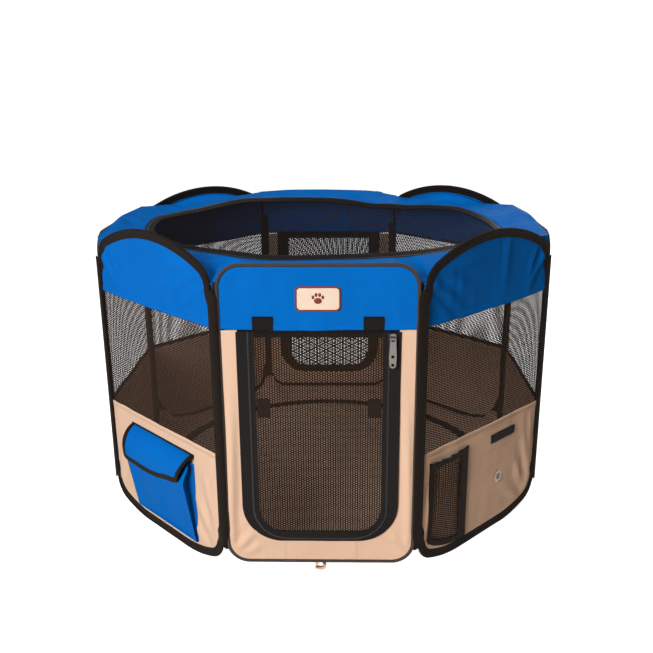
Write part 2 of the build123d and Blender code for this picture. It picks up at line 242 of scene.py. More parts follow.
def plug(tree, node, **values):
    """Fills a node's inputs. An underscore stands for a space in an input's name."""
    for key, value in values.items():
        put(tree, node.inputs[key.replace("_", " ")], value)


def add(tree, kind, **values):
    """A new node with its own settings and its inputs."""
    node = tree.nodes.new(kind)
    for key in [key for key in values if hasattr(node, key)]:
        setattr(node, key, values.pop(key))
    plug(tree, node, **values)
    return node


def bands(tree, where, direction, period, distortion):
    """Even bands across the cloth, one each period in metres."""
    scale = 2 * math.pi / (20 * period)
    return add(tree, "ShaderNodeTexWave", bands_direction=direction, Vector=where, Scale=scale,
               Distortion=distortion).outputs["Fac"]


def cloud(tree, where, scale, detail=3.0):
    return add(tree, "ShaderNodeTexNoise", Vector=where, Scale=scale, Detail=detail).outputs["Fac"]


def math_node(tree, operation, a, b):
    node = add(tree, "ShaderNodeMath", operation=operation)
    put(tree, node.inputs[0], a)
    put(tree, node.inputs[1], b)
    return node.outputs[0]


def total(tree, first, *parts):
    """The sum of factors, each given with its share."""
    first = math_node(tree, "MULTIPLY", *first)
    for part in parts:
        first = math_node(tree, "ADD", first, math_node(tree, "MULTIPLY", *part))
    return first


def shaded(tree, factor, dark, light, low=0.0, high=1.0):
    """A colour between dark and light, by a factor."""
    ramp = add(tree, "ShaderNodeMapRange", Value=factor, From_Min=low, From_Max=high)
    mix = add(tree, "ShaderNodeMix", data_type="RGBA")
    for k, value in ((0, ramp.outputs["Result"]), (6, (*dark, 1)), (7, (*light, 1))):
        put(tree, mix.inputs[k], value)
    return mix.outputs[2]


def bump(tree, height, distance, strength=1.0):
    node = add(tree, "ShaderNodeBump", Strength=strength, Distance=distance, Height=height)
    return node.outputs["Normal"]


def scaled(colour, share):
    return tuple(channel * share for channel in colour)


def fabric(name, colour, weave, dark, light, span, rough, gloss, depth, sheen=0.0):
    """Cloth or tape of one colour. weave(tree, where) gives its tone's factor and its threads' height."""
    made, tree, shader = tree_of(name)
    tone, height = weave(tree, add(tree, "ShaderNodeUVMap", uv_map=UV).outputs["UV"])
    plug(tree, shader, Base_Color=shaded(tree, tone, scaled(colour, dark), scaled(colour, light), *span),
         Roughness=rough, Sheen_Weight=sheen, Sheen_Roughness=0.45, Specular_IOR_Level=gloss,
         Normal=bump(tree, height, depth))
    return made


def woven(name, colour, period, rough=0.8, sheen=0.0, depth=0.00025, spread=0.12, gloss=0.15):
    """Plain woven cloth: threads both ways, slow colour variation and a little wear."""
    def weave(tree, where):
        threads = math_node(tree, "MULTIPLY", *(bands(tree, where, way, period, 0.6) for way in "XY"))
        tone = total(tree, (threads, 0.35), (cloud(tree, where, 9.0, 4.0), 0.65),
                     (cloud(tree, where, 900.0, 2.0), 0.18))
        return tone, total(tree, (threads, 1.0), (cloud(tree, where, 120.0), 1.6))

    return fabric(name, colour, weave, 1 - spread, 1 + spread, (0.2, 0.95), rough, gloss, depth, sheen)


def ribbed(name, colour, period, rough=0.75, depth=0.0004, cross=0.0012, spread=0.25, gloss=0.15):
    """Woven tape: fine ribs across its width and a coarser run of threads along it."""
    def weave(tree, where):
        ribs, runs = bands(tree, where, "X", period, 0.4), bands(tree, where, "Y", cross, 0.8)
        height = total(tree, (ribs, 1.0), (runs, 0.5))
        return total(tree, (height, 0.35), (cloud(tree, where, 400.0), 0.6)), height

    return fabric(name, colour, weave, 1 - spread, 1 + 1.5 * spread, (0.1, 0.9), rough, gloss, depth)


def metal(name, colour, rough, scratch=300.0):
    """Plated metal with fine scratches and a dulled, uneven surface."""
    made, tree, shader = tree_of(name)
    where = add(tree, "ShaderNodeTexCoord").outputs["Object"]
    marks = cloud(tree, where, scratch, 6.0)
    dulled = add(tree, "ShaderNodeMapRange", Value=cloud(tree, where, scratch / 5, 4.0), To_Min=rough * 0.7,
                 To_Max=rough * 1.5)
    plug(tree, shader, Base_Color=shaded(tree, marks, scaled(colour, 0.82), scaled(colour, 1.1), 0.3, 0.7),
         Roughness=dulled.outputs["Result"], Metallic=1.0, Normal=bump(tree, marks, 0.00005, 0.6))
    return made


BLUE = woven("blue cloth", (0.001, 0.134, 0.50), 0.0007, rough=0.6, gloss=0.015)
BEIGE = woven("beige cloth", (0.73, 0.49, 0.345), 0.0007, rough=0.82, spread=0.05)
# painted light: the floor mat is the same beige cloth as the walls and border, made brighter to stand in for
# light falling into the pen through the nets
LIT_FLOOR_CLOTH = woven("floor cloth", (0.90, 0.665, 0.505), 0.0009, rough=0.85, spread=0.1)
NET = ribbed("black net", (0.030, 0.017, 0.011), 0.0006, rough=0.7, spread=0.3, gloss=0.06)
# painted shade: the lid's net is the same black net as the walls', given a darker colour and less gloss so that
# its lit threads read as shaded
SHADED_LID_NET = ribbed("lid net", (0.010, 0.007, 0.006), 0.0006, rough=0.8, spread=0.3, gloss=0.02)
BINDING = ribbed("edge binding", (0.013, 0.009, 0.007), 0.0011, rough=0.7, depth=0.0005, cross=0.0021, gloss=0.06)
PIPING = ribbed("piping", (0.045, 0.033, 0.026), 0.0008, rough=0.4, depth=0.0003, cross=0.0016, gloss=0.2)
WEBBING = ribbed("webbing", (0.010, 0.008, 0.007), 0.0016, rough=0.72, depth=0.0006, cross=0.0012, gloss=0.08)
TAPE = ribbed("zip tape", (0.010, 0.008, 0.008), 0.0009, rough=0.65, depth=0.0003, cross=0.0012, gloss=0.1)
COIL = ribbed("zip coil", (0.016, 0.015, 0.015), 0.0016, rough=0.35, depth=0.0006, cross=0.004, gloss=0.3)
HOOKS = woven("hook tape", (0.013, 0.012, 0.012), 0.0014, rough=0.9, sheen=0.03, depth=0.0009, spread=0.5)
LABEL = woven("label cloth", (0.84, 0.66, 0.52), 0.0005, rough=0.6, spread=0.04)
LABEL_EDGE = ribbed("label edging", (0.23, 0.045, 0.03), 0.0006, rough=0.55, depth=0.0003, spread=0.2)
BLACK_THREAD = ribbed("black thread", (0.02, 0.018, 0.018), 0.0004, rough=0.5, spread=0.2)
BLUE_THREAD = ribbed("blue thread", (0.006, 0.10, 0.36), 0.0004, rough=0.5, spread=0.2)
BEIGE_THREAD = ribbed("beige thread", (0.60, 0.40, 0.28), 0.0004, rough=0.5, spread=0.1)
# partly painted shade: the seam and backing stitches are real, and their dark brown stands in for the shade in
# the sewn lines
SEAM_SHADE_THREAD = ribbed("brown thread", (0.30, 0.16, 0.10), 0.0004, rough=0.5, spread=0.1)
NICKEL = metal("nickel plate", (0.16, 0.145, 0.132), 0.36)
EYELET = metal("eyelet metal", (0.20, 0.18, 0.165), 0.38, 200.0)
STEEL = metal("spring steel", (0.45, 0.45, 0.46), 0.35)


# ---------------------------------------------------------------- making pieces

def piece(name, points, faces, uv, skin, body=None, node=None, slot=None, thick=0.0, smooth=True):
    """A mesh piece with its cloth coordinates in metres, its skin, its body and the node it replaces."""
    mesh = bpy.data.meshes.new(name)
    mesh.from_pydata(np.asarray(points, float).tolist(), [], [list(map(int, f)) for f in faces])
    layer = mesh.uv_layers.new(name=UV)
    corner_verts = np.empty(len(mesh.loops), int)
    mesh.loops.foreach_get("vertex_index", corner_verts)
    layer.data.foreach_set("uv", np.asarray(uv, np.float32)[corner_verts].ravel())
    mesh.polygons.foreach_set("use_smooth", [smooth] * len(mesh.polygons))
    mesh.materials.append(skin)
    mesh.validate()
    obj = bpy.data.objects.new(name, mesh)
    bpy.context.collection.objects.link(obj)
    if thick:
        shell = obj.modifiers.new("thickness", "SOLIDIFY")
        shell.thickness, shell.offset = thick, 0.0
    if body:
        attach(obj, body)
    if node:
        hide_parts(node)
    return obj


def wall_piece(name, panel, points, faces, uv, skin, body=None, **more):
    """A piece drawn in a wall's own frame. It rides that wall, unless another body is named."""
    return piece(name, place(panel, points), faces, uv, skin, body or f"wall_{NAMES[panel]}", **more)


def raised(flat, w):
    """Points (u, z) of a wall's frame, given their w."""
    return np.stack([flat[:, 0], w, flat[:, 1]], 1)


def grid_faces(rows, columns, closed=False, wrap_rows=False):
    """Quads of a grid of points, row by row. closed joins the last column to the first."""
    faces = []
    for i in range(rows if wrap_rows else rows - 1):
        here, above = i * columns, (i + 1) % rows * columns
        for j in range(columns if closed else columns - 1):
            after = (j + 1) % columns
            faces.append((here + j, here + after, above + after, above + j))
    return faces


def fan_faces(count, rings, first=0):
    """Faces of a middle point, which is number first, and the rings of points round it."""
    faces = [(first, first + 1 + i, first + 1 + (i + 1) % count) for i in range(count)]
    for base in first + 1 + count * np.arange(rings - 1):
        faces += [(base + i, base + count + i, base + count + (i + 1) % count, base + (i + 1) % count)
                  for i in range(count)]
    return faces


def inward_of(line, closed):
    """The direction across a line in u and z, to its left."""
    ahead, behind = np.roll(line, -1, 0), np.roll(line, 1, 0)
    if not closed:
        ahead[-1], behind[0] = line[-1], line[0]
    return unit(ahead - behind)[:, ::-1] * (-1, 1)


def swept(line, profile, closed, share=1.0):
    """A profile of (drawn in, outward) points carried along a line in u and z.

    share narrows what lies further in than a binding's bead, at each point of the line. Returns points
    (u, w, z), faces and cloth coordinates. Each row is one point of the line."""
    line, along = line
    profile = np.asarray(profile, float)
    bead, lap = np.minimum(profile[:, 0], BEAD), np.maximum(profile[:, 0] - BEAD, 0)
    reach = bead[None] + lap[None] * np.broadcast_to(share, len(line))[:, None]
    spots = line[:, None, :] + inward_of(line, closed)[:, None, :] * reach[..., None]
    w = np.broadcast_to(profile[None, :, 1], spots.shape[:2])
    points = np.stack([spots[..., 0], w, spots[..., 1]], 2).reshape(-1, 3)
    uv = np.stack(np.broadcast_arrays(along[:, None], run_of(profile)[None, :]), 2).reshape(-1, 2)
    return points, grid_faces(len(line), len(profile), wrap_rows=closed), uv


def band(name, panel, line, profile, skin, lift=CLOTH_W, closed=False, share=1.0, turned=False, **more):
    """A profile swept along a line on a wall. lift is added to w: an amount, or a function of u, z and uv.
    turned swaps the cloth coordinates."""
    points, faces, uv = swept(line, profile, closed, share)
    points[:, 1] += lift(points[:, 0], points[:, 2], uv) if callable(lift) else lift
    return wall_piece(name, panel, points, faces, uv[:, ::-1] if turned else uv, skin, **more)


def flat_profile(start, end, under, over):
    """The profile of a plain tape that runs from start to end across its line."""
    return [(start, under), (start, over), (end, over), (end, under)]


STITCH, STITCH_PITCH, STITCH_RADIUS = 0.0022, 0.0031, 0.00033
STITCH_FACES = [(0, 2, 4), (2, 1, 4), (1, 3, 4), (3, 0, 4), (2, 0, 5), (1, 2, 5), (3, 1, 5), (0, 3, 5)]


def wall_stitches(name, panel, lines, skin, body=None, slot=None):
    """Rows of small raised stitches on one wall, each a thin eight-sided bead along its row.

    Each line is (points in u and z, w, which way is out)."""
    beads = []
    for line, w, out in lines:
        spots, _ = even(line, STITCH_PITCH)
        level = np.interp(np.linspace(0, 1, len(spots)), np.linspace(0, 1, np.size(w)), np.ravel(w))
        at = raised(spots, level)
        way = raised(unit(np.gradient(spots, axis=0)), 0 * level)
        normal = np.tile([0.0, out, 0.0], (len(at), 1))
        side = np.cross(way, normal)
        corners = [at - way * STITCH / 2, at + way * STITCH / 2,
                   at + side * STITCH_RADIUS, at - side * STITCH_RADIUS,
                   at + normal * STITCH_RADIUS * 1.3, at - normal * STITCH_RADIUS * 0.3]
        beads.append(np.stack(corners, 1).reshape(-1, 3))
    points = np.vstack(beads)
    faces = [tuple(6 * i + v for v in face) for i in range(len(points) // 6) for face in STITCH_FACES]
    return wall_piece(name, panel, points, faces, points[:, [0, 2]], skin, body, slot=slot, smooth=False)


# ---------------------------------------------------------------- nets

NET_ACROSS, NET_ALONG, NET_HOLE = 0.0047, 0.0048, 0.58
DOOR_HOLES = {"front": NET_HOLE, "back": 0.45}  # the back door's net shows denser in the photo


def netting(low, high, keep, hole=NET_HOLE):
    """Flat hexagonal netting over a box in (a, b): points, faces. keep says which cells stay."""
    columns = np.arange(math.floor(low[0] / NET_ACROSS), math.ceil(high[0] / NET_ACROSS) + 1)
    rows = np.arange(math.floor(low[1] / NET_ALONG) - 1, math.ceil(high[1] / NET_ALONG) + 1)
    c, r = np.meshgrid(columns, rows, indexing="ij")
    c, r = c.ravel(), r.ravel()
    key = np.stack([3 * c, 2 * r + (c % 2)], 1)  # whole numbers of a third and a half of the pitch
    pitch = np.array([NET_ACROSS / 3, NET_ALONG / 2])
    inside = keep(*(key * pitch).T)
    key = key[inside]
    ring = np.array([(2, 0), (1, 1), (-1, 1), (-2, 0), (-1, -1), (1, -1)])
    rim_keys = (key[:, None, :] + ring[None]).reshape(-1, 2)
    unique, index = np.unique(rim_keys, axis=0, return_inverse=True)
    index = index.reshape(-1, 6)
    holes = ((key[:, None, :] + hole * ring[None]) * pitch).reshape(-1, 2)
    points = np.vstack([unique * pitch, holes])
    first = len(unique) + 6 * np.arange(len(key))[:, None]
    hole = first + np.arange(6)[None]
    faces = np.stack([index, np.roll(index, -1, 1), np.roll(hole, -1, 1), hole], 2).reshape(-1, 4)
    return points, faces


def wall_net(name, panel, half, z, shape, node, body, keep=None, hole=NET_HOLE):
    """The net of one wall or door, with its slack given by shape(u, z)."""
    margin = 0.003

    def inside(a, b):
        whole = (abs(a) < half + margin) & (b > z[0] - margin) & (b < z[1] + margin)
        return whole & keep(a, b) if keep else whole

    flat, faces = netting((-half, z[0]), (half, z[1]), inside, hole)
    flat = np.clip(flat, (-half, z[0]), (half, z[1]))
    points = raised(flat, CLOTH_W + shape(*flat.T))
    made = wall_piece(name, panel, points, faces, flat, NET, body, node=node)


# ---------------------------------------------------------------- one wall

BINDING_WIDE, PIPING_WIDE = 0.019, 0.0070
BEAD = 0.0078  # the round part over the wire, measured in from the edge
SHEET_INSET = (0.0020, 0.0062)  # how far the cloth stops short of a straight and an arched outline
SIDE_SHARE = (1.0, 0.0)  # how much of the binding's lap is left along a wall's upright sides
CLOTH_THICK = 0.0007
HEM = 0.011
SEWN_IN = 0.0022  # how far stitches run from the edge that they hold
LABEL_Z = 0.5665
PANEL_SEAMS = (-0.071, -0.067, 0.069, 0.073)  # two joins in the cloth under each doorway
# The zip's lines, from the outside inward: half width, height of the foot, radius of the corners.
TAPE_OUTSIDE = (0.151, 0.073, 0.078)
TEETH = (0.129, 0.079, 0.066)
DOOR_OUTSIDE = (0.1285, 0.0795, 0.0655)
DOOR_MESH = (0.118, 0.087, 0.048)
DOOR_TOP = MESH_HIGH - 0.003
STRAP_U, STRAP_Z = 0.101, 0.5209
# Pulled folds in the cloth: start and end in u and z, height and width.
ARCH_CREASES = [
    ((0.185, 0.590), (0.070, 0.515), 0.0034, 0.011),
    ((0.172, 0.612), (0.040, 0.545), 0.0028, 0.013),
    ((0.190, 0.565), (0.120, 0.512), 0.0022, 0.009),
    ((0.160, 0.620), (0.030, 0.600), 0.0020, 0.010),
    ((-0.187, 0.590), (-0.120, 0.512), 0.0028, 0.010),
    ((-0.160, 0.618), (-0.120, 0.525), 0.0018, 0.011),
    ((-0.050, 0.640), (-0.040, 0.515), 0.0014, 0.013),
]
LOWER_CREASES = [
    ((0.186, 0.060), (0.150, 0.215), 0.0036, 0.012),
    ((0.176, 0.045), (0.110, 0.150), 0.0028, 0.012),
    ((0.150, 0.030), (0.070, 0.095), 0.0020, 0.012),
    ((0.190, 0.110), (0.172, 0.235), 0.0022, 0.009),
    ((-0.186, 0.055), (-0.160, 0.200), 0.0028, 0.010),
    ((-0.175, 0.045), (-0.120, 0.110), 0.0020, 0.010),
]
DOOR_CREASES = [
    ((-0.174, 0.060), (-0.163, 0.420), 0.0040, 0.008),
    ((0.174, 0.060), (0.164, 0.400), 0.0040, 0.008),
    ((0.168, 0.046), (0.128, 0.105), 0.0026, 0.008),
    ((-0.168, 0.046), (-0.125, 0.100), 0.0024, 0.008),
    ((-0.155, 0.036), (-0.110, 0.070), 0.0018, 0.008),
    ((0.155, 0.036), (0.105, 0.066), 0.0018, 0.008),
]


def side_share(panel, line):
    """1 round a wall's top and foot, less along its upright sides."""
    low, high = ((0.060, 0.596), (0.075, 0.575))[panel % 2]
    u, z = line.T
    upright = fade_in(z - low, 0.035) * fade_in(high - z, 0.035) * (abs(u) > edge_half(panel) - 0.02)
    return 1 - (1 - SIDE_SHARE[panel % 2]) * upright


def binding_profile(arched):
    """Tape folded round the wire: a round bead at the edge, then two flat flaps drawn together."""
    r = (0.0033, 0.0039)[arched]
    lap = [(0.0064, 0.0018), (PIPING_WIDE, 0.0012)]
    if arched:
        lap = [(0.0088, 0.0021), (0.0115, 0.0017), (BINDING_WIDE - 0.001, 0.0016), (BINDING_WIDE, 0.0011)]
    bead = [(r + r * math.cos(a), CLOTH_W + r * math.sin(a)) for a in np.radians(np.linspace(50, 310, 13))]
    closed = bead + [(a, CLOTH_W - b) for a, b in lap] + [(a, CLOTH_W + b) for a, b in reversed(lap)]
    return closed + closed[:1]


def edge_binding(panel):
    name, arched = NAMES[panel], panel % 2
    width, waver = ((PIPING_WIDE, 0.00025), (BINDING_WIDE, 0.0005))[arched]
    line, along = outline(panel, 0.0, 0.005)
    share = side_share(panel, line)
    band(f"edge_binding_{name}", panel, (line, along), binding_profile(arched), (PIPING, BINDING)[arched],
         lambda u, z, uv: waver * noise(uv[:, 0] * 22 + panel, uv[:, 1] * 40, 31 + panel),
         closed=True, share=share, node=f"binding_{name}")
    if arched:
        loop = line + inward_of(line, True) * (BEAD + (width - SEWN_IN - BEAD) * share)[:, None]
        loop = np.vstack([loop, loop[:1]])
        lines = [(loop, CLOTH_W + out * 0.0018, out) for out in (1, -1)]
        wall_stitches(f"binding_stitches_{name}", panel, lines, BLACK_THREAD, slot="black_binding")


def folds(panel, upper):
    """How the blue or the beige cloth of one wall stands out from its plane."""
    half, way = edge_half(panel), 1 if upper else -1
    if upper:
        side_fade, height, grain = 0.035, 0.0022, (0.034, 0.16, 0.12 * (panel % 3 - 1), 11 * panel + 5)
        creases, mirror = ARCH_CREASES if panel % 2 else (), -1 if panel in (1, 3) else 1
    else:
        side_fade, height, grain = 0.03, 0.0018, (0.042, 0.14, 0.2, 7 * panel + 90)
        creases = DOOR_CREASES if NAMES[panel] in DOORS else LOWER_CREASES
        mirror = -1 if panel in (2, 5) else 1

    def shape(u, z):
        side = fade_in(half - abs(u), side_fade)
        free = fade_in(way * (rim_height(panel, u, 0.008, upper) - z), 0.03)
        out = height * ripples(u, z, *grain) * side * free
        for (a, b), (c, d), tall, width in creases:
            out = out + tall * crease(u, z, (mirror * a, b), (mirror * c, d), width) * free
        if upper and panel == 0:  # flat behind the label
            out = out * fade_in(np.maximum(abs(u) - 0.043, abs(z - LABEL_Z) - 0.025), 0.02)
        return out

    return shape


def hemmed_cloth(panel, upper):
    """The blue cloth of a wall from its mesh up to the binding, or the beige cloth from the foot up to the
    mesh, with its hem. The beige one has a black tape inside."""
    name, inset, shape = NAMES[panel], SHEET_INSET[panel % 2], folds(panel, upper)
    colour, skin, thread, kind, node, rows, lean = (
        ("blue", BLUE, BLUE_THREAD, "top", "top", 36, 1) if upper else
        ("beige", BEIGE, BEIGE_THREAD, "wall", "lower", 60, -1))
    t = np.linspace(-1, 1, 96)
    u = (edge_half(panel) - inset) * (0.8 * t + 0.2 * np.sin(t * math.pi / 2))
    if upper:
        free = MESH_HIGH - 0.001 + 0.0035 * (u / half_of(panel)) ** 2
        free = free + 0.0008 * noise(u * 14 + 3, 0 * u, panel + 60)
    else:
        free = MESH_LOW + 0.0008 * noise(u * 12 + 5, 0 * u, panel + 70)
    bottom, top = (free, rim_height(panel, u, inset, upper))[::lean]
    share = np.linspace(0, 1, rows)[:, None]
    z = bottom[None] * (1 - share) + top[None] * share
    uu = np.broadcast_to(u[None], z.shape)
    points = np.stack([uu, CLOTH_W + shape(uu, z), z], 2).reshape(-1, 3)
    made = wall_piece(f"{colour}_{kind}_{name}", panel, points, grid_faces(rows, len(u)), points[:, [0, 2]],
                      skin, node=f"{node}_fabric_{name}", thick=CLOTH_THICK)
    # the hem is the same cloth turned over: a slightly raised band, with its row of stitches
    line = np.stack([u, free], 1)
    hem = [(0.0, -0.0003), (-0.0006, 0.0004), (0.0, 0.0011), (0.002, 0.0012), (HEM - 0.001, 0.0011),
           (HEM, 0.0002)]

    def on_cloth(u, z, uv):
        return CLOTH_W + shape(u, z)

    hem = [(lean * a, b) for a, b in hem]
    band(f"{colour}_hem_{name}", panel, even(line, 0.005), hem, skin, on_cloth, turned=True)
    sewn = line + (0, lean * (HEM - SEWN_IN))
    row = (sewn, CLOTH_W + 0.0013 + shape(*sewn.T), 1)
    wall_stitches(f"{colour}_hem_stitches_{name}", panel, [row], thread)
    if not upper:
        tape = flat_profile(0, -0.010, -0.0004, -0.0014)
        band(f"sill_tape_{name}", panel, even(line, 0.006), tape, WEBBING, on_cloth)


def door_surround(panel):
    """The beige cloth round a doorway: ruled from the wall's edge in to the zip's tape."""
    name, shape = NAMES[panel], folds(panel, False)
    outer, _ = outline(panel, SHEET_INSET[0], 0.001)
    outer = outer[outer[:, 1] < MESH_HIGH]
    start = np.argmin(outer[:, 0] * 10 - outer[:, 1])  # the left side's top
    outer, _ = even(np.roll(outer, -start, 0), 0.004)
    half, low, corner = TAPE_OUTSIDE
    inner, _ = door_line(half - 0.003, low + 0.003, corner - 0.003, MESH_HIGH, 0.001)
    # match the two lines by angle round the doorway's middle, so that the ruling stays square
    angle, goal = (np.unwrap(np.arctan2(*(line - (0.0, 0.24)).T[::-1])) for line in (inner, outer))
    goal = (goal - goal[0]) / (goal[-1] - goal[0]) * (angle[-1] - angle[0]) + angle[0]
    share = np.linspace(0, 1, len(inner))
    at = np.interp(goal, angle, share)
    inner = np.stack([np.interp(at, share, column) for column in inner.T], 1)
    rows = 14
    t = np.linspace(0, 1, rows)[:, None, None]
    flat = (outer[None] * (1 - t) + inner[None] * t).reshape(-1, 2)
    faces = grid_faces(rows, len(outer))
    made = wall_piece(f"beige_wall_{name}", panel, raised(flat, CLOTH_W + shape(*flat.T)), faces, flat,
                      BEIGE, node=f"lower_fabric_{name}", thick=CLOTH_THICK)
    # the seams' dark thread is partly painted shade along the sewn lines
    z = np.linspace(STRAIGHT_LOW + PIPING_WIDE, TAPE_OUTSIDE[1], 8)
    columns = [np.stack([np.full(8, u), z], 1) for u in PANEL_SEAMS]
    lines = [(line, CLOTH_W + 0.0006 + shape(*line.T), 1) for line in columns]
    wall_stitches(f"beige_seams_{name}", panel, lines, SEAM_SHADE_THREAD)


def peg_loop(panel):
    """The webbing loop under a straight wall, bent round the hole for a peg."""
    name, r, tail = NAMES[panel], 0.0060, STRAIGHT_LOW + 0.004
    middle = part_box(f"lower_fabric_{name}")[0].z + 0.0066
    ring = [(r * math.sin(a) * 1.7, middle + r * -math.cos(a) * 0.9) for a in np.linspace(-2.5, 2.5, 25)]
    profile = [(-0.0008, -0.006), (0.0008, -0.006), (0.0012, 0.0), (0.0008, 0.006), (-0.0008, 0.006)]
    line = even([(-0.0035, tail), *ring, (0.0035, tail)], 0.0015)
    band(f"peg_loop_{name}", panel, line, profile + profile[:1], BEIGE)


def window_net(panel):
    """The net of a wall without a door. It bellies a little and is drawn tight at its edges."""
    half = edge_half(panel)

    def slack_net(u, z):
        side = fade_in(half - abs(u), 0.06)
        tall = fade_in(z - MESH_LOW + 0.01, 0.06) * fade_in(MESH_HIGH + 0.01 - z, 0.06)
        return 0.0014 * side * tall * (0.4 + ripples(u, z, 0.07, 0.2, 0.5, 3 * panel + 2)) - 0.0004

    wall_net(f"net_{NAMES[panel]}", panel, half - 0.005, (MESH_LOW - 0.006, MESH_HIGH + 0.008), slack_net,
             f"mesh_{NAMES[panel]}", f"wall_{NAMES[panel]}")


# ---------------------------------------------------------------- doors

def box_piece(name, panel, centre, size, skin, body, bow, cells=(10, 6), **more):
    """A flat strap or patch with rounded edges that bows out a little, in a wall's own frame."""
    columns, rows = cells
    aa, bb = np.meshgrid(np.linspace(-0.5, 0.5, columns), np.linspace(-0.5, 0.5, rows))
    u, z = aa * size[0], bb * size[2]
    rim = 0.35 * size[1] * ((2 * abs(aa)) ** 8 + (2 * abs(bb)) ** 8)
    front = size[1] / 2 + bow * np.cos(aa * math.pi) * np.cos(bb * math.pi) - rim
    back = np.minimum(rim, size[1] * 0.2) - size[1] / 2
    points = np.stack([np.stack([u, w, z], 2).reshape(-1, 3) + centre for w in (front, back)]).reshape(-1, 3)
    count = rows * columns
    faces = grid_faces(rows, columns)
    faces += [tuple(v + count for v in reversed(face)) for face in faces]
    edge = [*range(columns), *(r * columns + columns - 1 for r in range(1, rows)),
            *(count - 1 - k for k in range(1, columns)), *(r * columns for r in range(rows - 2, 0, -1))]
    faces += [(v, n, n + count, v + count) for v, n in zip(edge, edge[1:] + edge[:1])]
    uv = np.tile(np.stack([u, z], 2).reshape(-1, 2), (2, 1))
    wall_piece(name, panel, points, faces, uv, skin, body, **more)


def box_stitches(name, panel, centre, size, body, skin=BLACK_THREAD, slot=None):
    """A stitched rectangle."""
    (u, w, z), (a, b) = centre, (size[0] / 2, size[1] / 2)
    corners = [(u - a, z - b), (u + a, z - b), (u + a, z + b), (u - a, z + b), (u - a, z - b)]
    wall_stitches(name, panel, [(corners, w, 1)], skin, body, slot)


def zip_half(name, panel, outer, inner, body, node):
    """One half of a door's zip: a ribbed tape inward from a U line, and its plain face inside the pen."""
    width = outer[0] - inner[0]
    ribs = 5 if width > 0.015 else 2
    profile = [(0.0, 0.0002), (0.0, 0.0014)]
    for k in range(ribs):
        a, b = width * (k + 0.15) / ribs, width * (k + 1) / ribs
        profile += [(a, 0.0012), ((a + b) / 2, 0.0024), (b - 0.0003, 0.0012)]
    profile += [(width, 0.0012), (width, 0.0002)]
    line = door_line(*outer, DOOR_TOP)
    band(name, panel, line, profile, TAPE,
         lambda u, z, uv: CLOTH_W + 0.0002 + 0.0002 * noise(uv[:, 0] * 30, uv[:, 1] * 90, 51),
         body=body, node=node)
    band(f"{name}_inside", panel, line, flat_profile(0.0, width, -0.0002, -0.0012), WEBBING,
         body=body)


def zip_coil(name, panel):
    """The closed coil between the two tapes: a round ridge with a turn every 2 mm."""
    line = door_line(*TEETH, DOOR_TOP, 0.001)
    profile = [(0.0022 * math.cos(a), 0.0016 * math.sin(a)) for a in np.radians(np.linspace(180, 0, 6))]
    turns = np.repeat(0.0004 * (np.arange(len(line[1])) % 2), len(profile))
    band(name, panel, line, profile, COIL, CLOTH_W + 0.0010 + turns)


def door(side):
    """A door: its net, the zip's two halves, the coil, the straps and the patches they fasten to."""
    panel, wall, flap = DOORS[side], f"wall_{side}", f"{side}_door"
    half, low, corner = DOOR_MESH

    def inside(a, b):
        dx = np.maximum(abs(a) - (half - corner), 0)
        dz = np.maximum((low + corner) - b, 0)
        return dx**2 + dz**2 < (corner + 0.004) ** 2

    def belly(u, z):
        hold = fade_in(half + 0.004 - abs(u), 0.05) * fade_in(z - low, 0.06)
        return 0.0016 * hold * (0.3 + ripples(u, z, 0.06, 0.2, 0.3, 70 + panel)) - 0.0002

    wall_net(f"door_net_{side}", panel, half + 0.005, (low - 0.005, DOOR_TOP), belly, f"door_mesh_{side}",
             flap, inside, DOOR_HOLES[side])
    zip_half(f"zip_outer_{side}", panel, TAPE_OUTSIDE, TEETH, wall, f"zip_tape_{side}")
    zip_half(f"zip_inner_{side}", panel, DOOR_OUTSIDE, DOOR_MESH, flap, f"door_tape_{side}")
    zip_coil(f"zip_coil_{side}", panel)
    for kind, (reach, *_), profile, body, thick in (
        ("tape", DOOR_OUTSIDE, flat_profile(-0.0025, -0.0105, -0.0010, 0.0012), flap, 0.0004),
        ("backing", TAPE_OUTSIDE, flat_profile(-0.006, 0.009, -0.0014, -0.0024), wall, 0.0),
    ):
        line = even([(-reach, DOOR_TOP), (reach, DOOR_TOP)], 0.006)
        band(f"door_head_{kind}_{side}", panel, line, profile, WEBBING, body=body, thick=thick)
    for hand, sign in (("left", -1), ("right", 1)):
        end, u = f"{hand}_{side}", sign * STRAP_U
        box_piece(f"strap_{end}", panel, (u, 0.0062, STRAP_Z), (0.038, 0.0016, 0.026), WEBBING, wall, 0.0008)
        box_piece(f"patch_{end}", panel, (sign * 0.104, 0.0026, 0.354), (0.026, 0.0014, 0.038), HOOKS, flap,
                  0.0002, (8, 10))
        box_stitches(f"strap_stitches_{end}", panel, (u, 0.0072, STRAP_Z), (0.033, 0.021), wall)


# ---------------------------------------------------------------- corners

def corner_strips(panel):
    """The tapes over a corner, inside and outside. At the open corner each is in two halves."""
    # across the corner: how far from it on each wall, and how far outward there
    inside = [(0.0080, -0.0006), (0.0060, -0.0006), (0.0035, -0.0006), (0.0015, -0.0005)]
    arched = [(0.0104, 0.0060), (0.0088, 0.0082), (0.0060, 0.0092), (0.0025, 0.0092)]
    straight = [(0.0080, 0.0054), (0.0068, 0.0074), (0.0048, 0.0086), (0.0020, 0.0090)]
    outside = (arched, straight) if panel % 2 else (straight, arched)
    high = 0.596 if panel in (0, 7) else 0.614
    corner_strip(f"corner_tape_{NAMES[panel]}", panel, (inside, inside), -0.0004, (0.050, high), tip=1.0)
    corner_strip(f"corner_binding_{NAMES[panel]}", panel, outside, 0.0092, (0.060, 0.584))


